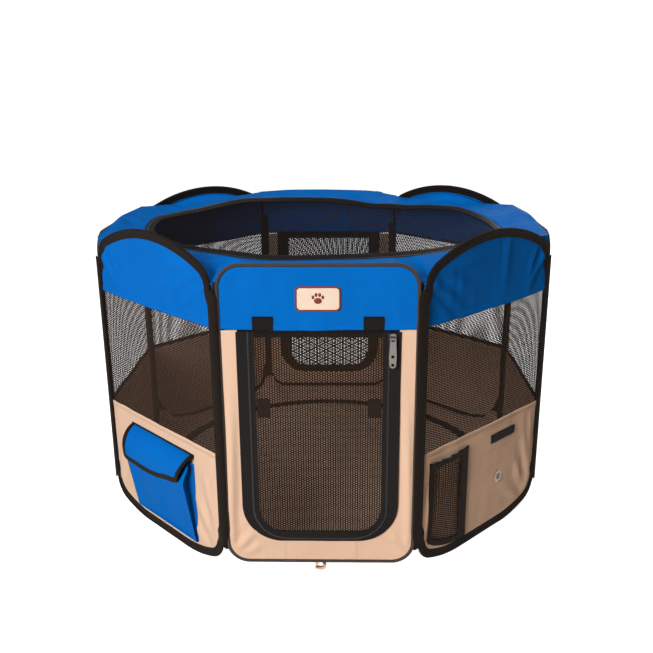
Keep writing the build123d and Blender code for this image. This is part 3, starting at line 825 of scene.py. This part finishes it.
def corner_strip(name, panel, sides, peak, span, tip=0.35):
    """One tape bent round a corner, from one wall to the next. Its ends narrow to the tip's share."""
    after = (panel + 1) % 8

    def beside(away, w, z=0.0):
        """The two points at a distance from the corner, on this wall and on the next."""
        return np.vstack([place(panel, [[half_of(panel) - away, w, z]]),
                          place(after, [[away - half_of(after), w, z]])])

    hinge = beside(0.0, peak).mean(0)
    section = np.array([*(beside(*spot)[0] for spot in sides[0]), hinge,
                        *(beside(*spot)[1] for spot in reversed(sides[1]))])[:, :2]
    middle, bodies = len(sides[0]), [f"wall_{NAMES[panel]}", f"wall_{NAMES[after]}"]
    sections = {"": section}
    if panel == OPEN_CORNER:
        sections = {"_1": section[:middle + 1], "_2": section[middle:]}
    z = np.linspace(*span, 70)
    wide = tip + (1 - tip) * np.minimum(1.0, np.minimum((z - span[0]) / 0.022, (span[1] - z) / 0.014))
    for (suffix, line), body in zip(sections.items(), bodies):
        across = hinge[:2] + (line - hinge[:2]) * wide[:, None, None]
        points = np.dstack([across, np.broadcast_to(z[:, None], across.shape[:2])]).reshape(-1, 3)
        uv = np.array([(h, g) for h in z for g in run_of(line)])
        made = piece(name + suffix, points, grid_faces(len(z), len(line)), uv, BINDING, thick=CLOTH_THICK)
        if suffix:
            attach(made, body)
        else:
            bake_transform(made)


# ---------------------------------------------------------------- pockets and trim

POCKET_U = 0.0055  # how far the pocket stands right of its wall's middle


def pocket():
    """The gusseted pocket on the front left wall: a full front, two sides and a toe."""
    panel, low, high = 7, 0.030, 0.206
    half, depth, toe, back = 0.1115, 0.030, 0.005, 0.00475
    columns, rows = 61, 40
    share = np.linspace(0, 1, rows)[:, None]
    t = np.linspace(-1, 1, columns)[None]
    z = low + (high - low) * share + 0 * t
    reach = toe + (depth - toe) * np.clip(share / 0.8, 0, 1) - 0.014 * fade_in(share - 0.8, 0.2)
    # the front is as wide as the pocket; the outer columns run back along the gusset to the wall
    side = np.clip((abs(t) - 0.80) / 0.20, 0, 1)
    u = np.sign(t) * (half * np.clip(abs(t) / 0.80, 0, 1) + 0 * share)
    u = u - np.sign(t) * 0.021 * np.sin(side * math.pi) * (0.3 + 0.7 * share)
    front = fade_in(half - abs(u), 0.025) * (1 - side)
    ripple = 0.0030 * ripples(u, z, 0.032, 0.12, 0.15, 210) * front
    pull = 0.0030 * crease(u, z, (-0.100, 0.200), (-0.020, 0.110), 0.012) * front
    pull = pull + 0.0026 * crease(u, z, (0.095, 0.190), (0.050, 0.080), 0.012) * front
    w = np.maximum(back + reach * (1 - side) - 0.0035 * front + ripple + pull, back)
    points = np.stack([u + POCKET_U, w, z], 2).reshape(-1, 3)
    girth = np.stack([half * t + 0 * z, z], 2).reshape(-1, 2)
    made = wall_piece("blue_pocket", panel, points, grid_faces(rows, columns), girth, BLUE,
                      node="pocket_body", thick=0.0009)
    band("pocket_toe", panel, even([(POCKET_U - half, low), (POCKET_U + half, low)], 0.006),
         flat_profile(0, 0.0015, 0.0, toe), BLUE, back, thick=0.0006)


def pocket_flap():
    """The flap over the pocket's mouth, with its black binding round the three free edges."""
    panel, body = 7, "pocket_flap"
    half, seam_z, seam_w = 0.1160, 0.2230, 0.00635
    columns, rows = 72, 30
    t = np.linspace(-1, 1, columns)[None]
    share = np.linspace(0, 1, rows)[:, None]
    # the side view of the flap: out from its seam, over the mouth and down in front of it
    out = [(0.0, 0.0), (0.15, 0.0075), (0.35, 0.0185), (0.55, 0.0265), (0.75, 0.0300), (1.0, 0.0295)]
    down = [(0.0, 0.0), (0.15, 0.0035), (0.35, 0.0150), (0.55, 0.0310), (0.75, 0.0490), (1.0, 0.0730)]
    reach, fall = (smooth_rows(np.interp(share, *zip(*line))) for line in (out, down))
    shorter = 1 - 0.26 * fade_in(t + 0.1, 1.1)  # it hangs lower on the left
    corner = 1 - 0.16 * (1 - np.sqrt(np.clip(1 - np.clip((abs(t) - 0.80) / 0.20, 0, 1) ** 2, 0, 1)))
    u = 0.0025 + half * t * (1 - 0.10 * share**2 * (t > 0) - 0.02 * share**2)
    z = seam_z + 0.0010 - fall * shorter * corner
    ripple = 0.0020 * ripples(u, z, 0.045, 0.12, 0.5, 300)
    ripple = ripple + 0.0020 * crease(u, z, (-0.06, 0.22), (0.02, 0.17), 0.014)
    stand = 0.0040 * np.clip(t, 0, 1) * share
    w = np.maximum(seam_w + reach + ripple * share + stand, seam_w)
    points = np.stack([u + 0 * w, w, z], 2)
    steps = np.hypot(np.diff(w, axis=0), np.diff(z, axis=0))
    run = np.concatenate([np.zeros((1, columns)), np.cumsum(steps, 0)])
    flat = np.stack([u + 0 * w, -run], 2).reshape(-1, 2)
    faces = grid_faces(rows, columns)
    made = wall_piece("flap_cloth", panel, points.reshape(-1, 3), faces, flat, BLUE, body,
                      node="pocket_flap", thick=0.0012)
    edge = np.vstack([points[:, 0], points[-1, 1:-1], points[::-1, -1]])
    inner = np.vstack([points[:, 3], points[-5, 1:-1], points[::-1, -4]])
    bound_edge("flap_binding", panel, edge, inner, 0.0105, body)
    seam = ((-0.0006, 0.0030), (0.0010, 0.0032), (0.0014, 0.0010))
    strip = np.vstack([points[0] + (0, w, z) for w, z in seam])
    girth = np.repeat([0.0, 0.003, 0.006], columns)
    wall_piece("flap_seam", panel, strip, grid_faces(len(seam), columns), np.c_[strip[:, 0], girth], BINDING,
               thick=0.0006)


def smooth_rows(values):
    """A column of values evened out, its ends kept."""
    for _ in range(6):
        values = values.copy()
        values[1:-1] = (values[:-2] + 2 * values[1:-1] + values[2:]) / 4
    return values


def bound_edge(name, panel, edge, inner, width, body):
    """Binding folded over a free edge that isn't flat: both faces, and the fold round the edge."""
    edge, along = even(edge, 0.004)
    inner, _ = even(inner, 0.004 * len(inner) / len(edge))
    share, at = np.linspace(0, 1, len(edge)), np.linspace(0, 1, len(inner))
    inner = np.stack([np.interp(share, at, column) for column in inner.T], 1)
    tangent = unit(np.gradient(edge, axis=0))
    inward = inner - edge
    inward = unit(inward - tangent * (inward * tangent).sum(1)[:, None])
    normal = np.cross(inward, tangent)
    profile = [(width, 0.0007), (width - 0.0008, 0.0015), (0.002, 0.0017), (-0.0006, 0.0010), (-0.0010, 0.0),
               (-0.0006, -0.0010), (0.002, -0.0017), (width - 0.0008, -0.0015), (width, -0.0007)]
    points = np.stack([edge + inward * a + normal * b for a, b in profile], 1).reshape(-1, 3)
    uv = np.array([(s, g) for s in along for g in run_of(profile)])
    wall_piece(name, panel, points, grid_faces(len(edge), len(profile)), uv, BINDING, body)


def net_pocket():
    """The gathered net pocket on the front right wall, with its elastic top and bound sides."""
    panel = 1
    left, right, high, depth, back = -0.176, -0.054, 0.230, 0.013, 0.0048
    wide = right - left

    def foot(u):
        slant = 0.05 * (right - u) * ((u > left) & (u < right))
        return rim_height(panel, u, BINDING_WIDE + 0.004, False) + slant

    def shape(u, z, gathered=1.0):
        low = foot(u)
        a, b = (u - left) / wide, np.clip((z - low) / (high - low), 0, 1)
        bulge = np.clip(np.sin(np.clip(a, 0, 1) ** 0.75 * math.pi), 0, 1) ** 0.6
        full = 0.35 + 0.55 * b
        gathers = 0.0030 * np.sin(u * 2 * math.pi / 0.027 + 2.2 * noise(u * 30, z * 6, 5)) * b * gathered
        slump = 0.0026 * ripples(u, z, 0.03, 0.09, 0.35, 400)
        return back + (depth - 0.004) * bulge * full + (gathers + slump * gathered) * bulge

    def inside(a, b):
        return (a > left - 0.003) & (a < right + 0.003) & (b > foot(a) - 0.002) & (b < high + 0.002)

    flat, faces = netting((left, 0.0), (right, high), inside)
    flat[:, 0] = np.clip(flat[:, 0], left, right)
    flat[:, 1] = np.clip(flat[:, 1], foot(flat[:, 0]), high)
    made = wall_piece("net_pocket_net", panel, raised(flat, shape(*flat.T)), faces, flat, NET,
                      node="net_pocket")

    u = np.linspace(left, right, 40)
    sides = [(np.full(40, at), np.linspace(*(foot(np.array([at]))[0], high)[::way], 40))
             for at, way in ((left, -1), (right, 1))]
    elastic = ((0, 0.0), (0, 0.0009), (0.3, 0.0013), (0.7, 0.0013), (1, 0.0009), (1, 0.0))
    for name, line, width, lift in (("top", (u[::-1], np.full(40, high)), 0.011, 0.0005),
                                    ("left", sides[0], 0.0080, 0.0004), ("right", sides[1], 0.0290, 0.0006),
                                    ("foot", (u, foot(u)), 0.0130, 0.0003)):
        profile = [(width * a, b) for a, b in elastic]

        def on_net(u, z, uv):
            return shape(np.clip(u, left, right), np.clip(z, foot(u), high), 0.25) + 0.0012 + lift

        line = even(np.stack(line, 1), 0.003)
        band(f"net_pocket_{name}", panel, line, profile, BINDING, on_net, thick=0.0005)


def front_right_trim():
    """The hook tab on its stitched strip, and the stitches of the strip behind it."""
    low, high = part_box("hook_tab")
    z, wall = (low.z + high.z) / 2, "wall_front_right"
    box_piece("hook_strip", 1, (0.069, 0.0066, z), (0.086, 0.002, 0.020), HOOKS, wall, 0.0004, (24, 8),
              node="hook_tab", slot="hook_tape")
    box_stitches("hook_strip_stitches", 1, (0.069, 0.0078, z), (0.082, 0.016), wall, slot="hook_tape")
    # the backing's dark thread is partly painted shade along the sewn lines
    box_stitches("backing_stitches", 1, (0.080, 0.0058, 0.212), (0.150, 0.050), wall, SEAM_SHADE_THREAD)


def label_patch():
    """A plain sewn label with a corded border and a generic paw print."""
    panel, z, back = 0, LABEL_Z, 0.0048
    half, tall, corner = 0.0415, 0.0235, 0.009
    centres = [(half - corner, tall - corner), (-half + corner, tall - corner),
               (-half + corner, -tall + corner), (half - corner, -tall + corner)]
    rim = [(cu + corner * math.cos(a), z + cz + corner * math.sin(a))
           for k, (cu, cz) in enumerate(centres) for a in np.linspace(k, k + 1, 8) * math.pi / 2]
    line = even(rim, 0.002, closed=True)
    border = [(0.0, 0.0), (0.0002, 0.0014), (0.001, 0.0021), (0.0026, 0.0021), (0.0034, 0.0014),
              (0.0036, 0.0)]
    band("label_border", panel, line, border, LABEL_EDGE, back, closed=True)
    rings = (0.2, 0.4, 0.6, 0.8, 1.0)
    spots = (line[0] - (0, z)) * (1 - 0.0030 / half, 1 - 0.0030 / tall)
    flat = np.vstack([[[0, 0]], *(spots * share for share in rings)])
    swell = [back + 0.0013 * (1 - 0.3 * share**4) for share in rings]
    points = raised(flat + (0, z), np.array([0.0061, *np.repeat(swell, len(spots))]))
    faces = fan_faces(len(spots), len(rings))
    made = wall_piece("label_face", panel, points, faces, flat, LABEL, node="label_patch")
    # the paw: one large pad and four toes, each a low dome
    pads = [(0.0, -0.0035, 0.0072, 0.0056), (-0.0088, 0.0032, 0.0026, 0.0035),
            (-0.0032, 0.0076, 0.0027, 0.0037), (0.0032, 0.0076, 0.0027, 0.0037),
            (0.0088, 0.0032, 0.0026, 0.0035)]
    points, faces, around = [], [], np.linspace(0, 2 * math.pi, 20, endpoint=False)
    dome = ((0.6, 0.0071), (1.0, 0.0063), (1.0, 0.0056))
    for cu, cz, a, b in pads:
        faces += fan_faces(len(around), len(dome), len(points))
        points.append((cu, 0.0072, z + cz))
        points += [(cu + a * share * math.cos(t), w, z + cz + b * share * math.sin(t))
                   for share, w in dome for t in around]
    points = np.array(points)
    wall_piece("label_motif", panel, points, faces, points[:, [0, 2]], LABEL_EDGE)


# ---------------------------------------------------------------- roof and floor

RING_STEPS = 720
ROOF_Z, COLLAR_R, TEETH_R, LID_R = 0.618, 0.4175, 0.412, 0.3976

# The slack ring's height and radius off its plan, in metres, at angles in degrees from the right.
RING_HEIGHTS = [(0, -0.007), (15, -0.004), (33, 0.004), (49, -0.003), (58, -0.011), (65, -0.008),
                (72, -0.013), (80, -0.004), (90, 0.003), (103, 0.006), (125, 0.011), (145, 0.001),
                (160, 0.001), (172, 0.006), (184, 0.000), (198, 0.002), (246, 0.004), (255, -0.001),
                (270, 0.003), (297, 0.002), (339, 0.001)]
RING_REACH = [(0, -0.010), (20, -0.006), (40, 0.000), (165, 0.000), (182, -0.003), (200, -0.009),
              (222, -0.002), (250, 0.000), (320, 0.000), (338, -0.003)]
# How high the collar's outer edge is held at each corner and over the middle of each wall between.
COLLAR_HEIGHTS = [(0, 0.641), (22.5, 0.633), (45, 0.626), (67.5, 0.617), (74, 0.634), (90, 0.638),
                  (104, 0.638), (112.5, 0.632), (135, 0.626), (157.5, 0.632), (180, 0.640),
                  (202.5, 0.626), (225, 0.610), (247.5, 0.592), (270, 0.600), (292.5, 0.592),
                  (315, 0.610), (337.5, 0.628)]


def slack(listed, angle, spread=2.5):
    """The listed values smoothed and read off at angles in radians."""
    degrees = np.arange(360)
    at, values = zip(*listed)
    even_values = np.interp(degrees, at, values, period=360)
    off = (degrees + 180) % 360 - 180
    weight = np.exp(-((off / spread) ** 2) / 2)
    weight /= weight.sum()
    smooth = np.real(np.fft.ifft(np.fft.fft(even_values) * np.fft.fft(weight)))
    return np.interp(np.degrees(angle) % 360, degrees, smooth, period=360)


def wall_radius(angle):
    """How far the walls' inner faces are from the middle at each angle, with the wall and its u."""
    panel = np.round((np.degrees(angle) + 90) / 45).astype(int) % 8
    away = np.radians(45 * panel - 90)
    apothem = np.where(panel % 2 == 0, STRAIGHT_APOTHEM, ARCHED_APOTHEM)
    off = angle - away
    return apothem / np.cos(off), panel, apothem * np.tan(off)


def rim_round(angle, top):
    """The height at each angle of the walls' tops or feet, inside their bindings."""
    _, panel, u = wall_radius(angle)
    z = np.empty_like(angle)
    for k in range(8):
        z[panel == k] = rim_height(k, u[panel == k], (PIPING_WIDE, BINDING_WIDE)[k % 2], top)
    return z


def soft_ring(name, inner, outer, heights, skin, rows, lift, steps=RING_STEPS, turned=(), **more):
    """A ring of cloth round the middle, between an inner and an outer line given at each angle.

    turned lists lines beyond the outer one, as a radius and a height at each angle."""
    angle = np.linspace(0, 2 * math.pi, steps, endpoint=False)
    share = np.linspace(0, 1, rows)[:, None]
    r = inner(angle)[None] * (1 - share) + outer(angle)[None] * share
    z = heights[0](angle)[None] * (1 - share) + heights[1](angle)[None] * share
    z = z + lift(angle[None] + 0 * share, share + 0 * angle[None], r)
    for radius, height in turned:
        r, z = np.vstack([r, radius(angle)]), np.vstack([z, height(angle)])
    points = np.stack([r * np.cos(angle), r * np.sin(angle), z], 2).reshape(-1, 3)
    faces = grid_faces(len(r), steps, closed=True)
    made = piece(name, points, faces, points[:, :2], skin, "wall_front", **more)
    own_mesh(made)
    return made


def ring_strip(name, inner_r, outer_r, profile, skin, body, node=None, hang=0.0):
    """A tape of the roof ring's own profile, from its inner to its outer edge, which may hang down."""
    angle = np.linspace(0, 2 * math.pi, RING_STEPS, endpoint=False)
    wave = 0.0006 * noise(angle * 8, 0 * angle, 502) + slack(RING_HEIGHTS, angle)
    spots = []
    for a, h in profile:
        radius = inner_r + (outer_r - inner_r) * a + slack(RING_REACH, angle)
        h = h - hang * (1 - a) * (0.0010 + 0.0080 * np.sin(angle))
        spots.append(np.stack([radius * np.cos(angle), radius * np.sin(angle), ROOF_Z + h + wave], 1))
    girth = run_of(np.array(profile) * (outer_r - inner_r, 1))
    uv = np.array([(t * outer_r, g) for g in girth for t in angle])
    made = piece(name, np.vstack(spots), grid_faces(len(profile), RING_STEPS, closed=True), uv, skin,
                 body, node)
    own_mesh(made)


def flat_at(value):
    return lambda angle: np.full_like(angle, value)


def roof():
    """The collar, the zip ring and the net lid."""
    def wall_top(angle):
        return rim_round(angle, True) - 0.002

    def top(angle):
        return np.maximum(wall_top(angle), slack(COLLAR_HEIGHTS, angle))

    def behind(angle):
        return wall_radius(angle)[0] - 0.0034

    # the collar's outer edge turns down behind the walls' tops, where it's sewn on
    turned = [(behind, lambda angle: top(angle) - 0.0012),
              (behind, lambda angle: (top(angle) + wall_top(angle)) / 2 - 0.004),
              (behind, lambda angle: wall_top(angle) - 0.007)]

    def hang(angle, share, r):
        wave = noise(angle * 9 + 3, share * 2, 500) * 0.0050 + noise(angle * 23, share * 3, 501) * 0.0024
        return (wave - 0.001) * np.sin(share * math.pi)

    collar = soft_ring("roof_collar_cloth", lambda angle: COLLAR_R + slack(RING_REACH, angle),
                       lambda angle: wall_radius(angle)[0] - 0.0006,
                       (lambda angle: ROOF_Z + 0.002 + slack(RING_HEIGHTS, angle), top), BLUE, 14, hang,
                       turned=turned, node="roof_collar", thick=CLOTH_THICK)
    flat_tape = [(0, 0.0), (0, 0.0016), (0.2, 0.0024), (0.35, 0.0018), (0.55, 0.0024), (0.75, 0.0018),
                 (0.95, 0.0022), (1, 0.0014), (1, -0.0008), (0, -0.0008), (0, 0.0)]
    ring_strip("roof_ring_tape", TEETH_R + 0.0004, COLLAR_R + 0.002, flat_tape, TAPE, "wall_front",
               "roof_zip_tape")
    ring_strip("lid_tape", LID_R, TEETH_R - 0.0004, flat_tape, TAPE, "roof_lid", hang=1.0)
    coil = [(0.5 - 0.5 * math.cos(a), 0.0008 + 0.0022 * math.sin(a)) for a in np.linspace(0, math.pi, 7)]
    ring_strip("roof_coil", TEETH_R - 0.0022, TEETH_R + 0.0022, coil, COIL, "wall_front")
    for side, sign, node in (("left", -1, "roof_lid"), ("right", 1, None)):
        def inside(a, b):
            return (a**2 + b**2 < (LID_R + 0.004) ** 2) & ((sign * a > 0) | ((a == 0) & (sign > 0)))
        flat, faces = netting((-LID_R, -LID_R), (LID_R, LID_R), inside)
        r, around = np.hypot(*flat.T) / LID_R, np.arctan2(flat[:, 1], flat[:, 0])
        rim = np.clip(r, 0, 1)
        sag = -(0.0010 + 0.0080 * np.sin(around)) * rim**3 - 0.0100 * (1 - rim**2)
        sag = sag + 0.0030 * ripples(*flat.T, 0.12, 0.3, 0.9, 600) * fade_in(1 - r, 0.15)
        sag = sag + slack(RING_HEIGHTS, around) * rim**3
        drawn = 1 + slack(RING_REACH, around) / LID_R * rim**2
        # the lid net's darker colour is painted shade
        made = piece(f"lid_net_{side}", np.c_[flat * drawn[:, None], ROOF_Z + sag], faces, flat, SHADED_LID_NET,
                     "roof_lid", node)
        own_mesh(made)


def floor():
    """The floor's border, the round mat that zips out and the ring of zip between them."""
    inner_r, zip_half_width = 0.405, 0.007
    mat_r = inner_r - zip_half_width

    def edge(angle):
        return np.minimum(wall_radius(angle)[0] - 0.0006, 0.5125)

    def rise(angle):
        return np.minimum(rim_round(angle, False) + 0.002, 0.070) + 0.002

    def waves(angle, share, r):
        return 0.0012 * (1 + noise(angle * 7, share * 1.5, 700)) * np.sin(np.clip(share, 0, 1) * math.pi)

    def dome(angle, share, r):
        x, y = r * np.cos(angle), r * np.sin(angle)
        rumple = noise(x * 9 + 20, y * 9 + 20, 710) + 0.5 * noise(x * 22 + 20, y * 22 + 20, 711)
        return 0.0016 * (1.3 + rumple) * fade_in(1 - share, 0.2)

    border = soft_ring("floor_border_cloth", flat_at(inner_r + zip_half_width), edge, (flat_at(0.002), rise),
                       BEIGE, 8, waves, node="floor_border", thick=CLOTH_THICK)
    # the mat's brighter beige is painted light
    mat = soft_ring("floor_mat_cloth", flat_at(0.004), flat_at(mat_r), (flat_at(0.002), flat_at(0.0022)),
                    LIT_FLOOR_CLOTH, 40, dome, 240, node="floor_mat", thick=0.0008)
    soft_ring("floor_zip_tape", flat_at(mat_r - 0.007), flat_at(mat_r + 2 * zip_half_width + 0.007),
              (flat_at(0.0046), flat_at(0.0040)), TAPE, 13,
              lambda a, s, r: 0.0010 * np.abs(np.sin(s * math.pi * 5)), thick=0.0010)
    soft_ring("floor_seam_tape", lambda angle: edge(angle) - 0.013, edge,
              (lambda angle: (rise(angle) + 0.0016) * 0.84 + 0.0012, lambda angle: rise(angle) + 0.0016),
              BINDING, 5, lambda a, s, r: 0 * r, thick=0.0010)


# ---------------------------------------------------------------- CAD nodes that stay

def finish_metal():
    """Plated metal on the sliders, pulls, eyelet and wires, with softened edges."""
    skins = {"spring_wire": STEEL, "zip_metal": NICKEL, "eyelet_metal": EYELET}
    for part in frame["record"]["subparts"]:
        skin = skins.get(part["material_slot"])
        if skin is None:
            continue
        node = frame["nodes"][part["node"]]
        for k in range(len(node.material_slots)):
            node.material_slots[k].material = skin
        if part["material_slot"] != "spring_wire":
            edge = node.modifiers.new("softened", "BEVEL")
            edge.width, edge.segments, edge.limit_method = 0.0003, 2, "ANGLE"


# ---------------------------------------------------------------- light, floor and camera

SURROUND_FILL, SURROUND_GLOSS, WARM = 0.09, 0.35, (1.0, 0.80, 0.64)
GROUND_HALF, GROUND_Z = 9.0, -0.0005
LIGHTS = (  # name, place, aim, size, watts, colour
    ("key", (-1.50, -2.94, 1.45), (0, 0, 0.35), 1.3, 137, (1, 1, 1)),
    ("overhead", (0.2, 0.1, 3.0), (0, 0, 0), 2.5, 32, (1, 1, 1)),
    ("bounce", (0.62, -1.05, 0.02), (0.45, -0.80, 0.4), 0.8, 2.2, WARM),
    ("rear", (1.50, 2.70, 1.75), (0, 0, 0.35), 1.6, 38, (1, 1, 1)),
)
CAMERA_PLACE, YAW, PITCH, ROLL, FOCAL = (0.04807, -1.86957, 0.93948), 0.0238, 0.2972, -0.0073, 44.17


def studio():
    """A pale floor, a white surround, and soft light from the front left, above and behind."""
    mesh = bpy.data.meshes.new("studio_floor")
    corners = [(a * GROUND_HALF, b * GROUND_HALF, GROUND_Z) for a, b in ((-1, -1), (1, -1), (1, 1), (-1, 1))]
    mesh.from_pydata(corners, [], [(0, 1, 2, 3)])
    ground = bpy.data.objects.new("studio_floor", mesh)
    bpy.context.collection.objects.link(ground)
    made, tree, shader = tree_of("pale floor")
    plug(tree, shader, Base_Color=(0.88, 0.88, 0.88, 1), Roughness=0.9, Specular_IOR_Level=0.1,
         Emission_Color=(0.970, 0.986, 1, 1), Emission_Strength=0.95)
    mesh.materials.append(made)
    ground.visible_diffuse = False
    world = bpy.data.worlds.new("studio")
    bpy.context.scene.world = world
    world.use_nodes = True
    tree = world.node_tree
    # the surround is white to look at, and gives much less light than that to the cloth
    path = add(tree, "ShaderNodeLightPath").outputs
    seen = math_node(tree, "MULTIPLY", path["Is Camera Ray"], 1 - SURROUND_GLOSS)
    cast = math_node(tree, "MULTIPLY", path["Is Diffuse Ray"], SURROUND_GLOSS - SURROUND_FILL)
    base = math_node(tree, "SUBTRACT", SURROUND_GLOSS, cast)
    plug(tree, tree.nodes["Background"], Strength=math_node(tree, "ADD", base, seen),
         Color=shaded(tree, path["Is Diffuse Ray"], (1, 1, 1), WARM))
    for name, spot, aim, size, power, colour in LIGHTS:
        light = bpy.data.lights.new(name, "AREA")
        light.energy, light.size, light.color = power, size, colour
        lamp = bpy.data.objects.new(name, light)
        bpy.context.collection.objects.link(lamp)
        lamp.visible_camera = False
        lamp.location = spot
        lamp.rotation_euler = (Vector(aim) - Vector(spot)).to_track_quat("-Z", "Y").to_euler()


def camera():
    """The camera at the place, tilt and focal length that the walls' edges give."""
    fwd = Vector((-math.sin(YAW) * math.cos(PITCH), math.cos(YAW) * math.cos(PITCH), -math.sin(PITCH)))
    level = Vector((math.cos(YAW), math.sin(YAW), 0))
    up = level.cross(fwd)
    right = level * math.cos(ROLL) + up * math.sin(ROLL)
    above = up * math.cos(ROLL) - level * math.sin(ROLL)
    lens = bpy.data.cameras.new("camera")
    lens.lens, lens.sensor_width = FOCAL, 36.0
    eye = bpy.data.objects.new("camera", lens)
    bpy.context.collection.objects.link(eye)
    eye.matrix_world = Matrix.Translation(CAMERA_PLACE) @ Matrix((right, above, -fwd)).transposed().to_4x4()
    bpy.context.scene.camera = eye


for panel in range(8):
    edge_binding(panel)
    hemmed_cloth(panel, True)
    if NAMES[panel] in DOORS:
        door_surround(panel)
    else:
        hemmed_cloth(panel, False)
    if panel % 2 == 0:
        peg_loop(panel)
    corner_strips(panel)
    if NAMES[panel] not in DOORS:
        window_net(panel)
for side in DOORS:
    door(side)
pocket()
pocket_flap()
net_pocket()
front_right_trim()
label_patch()
roof()
floor()
finish_metal()
studio()
camera()
bpy.context.scene.view_settings.view_transform = "Standard"
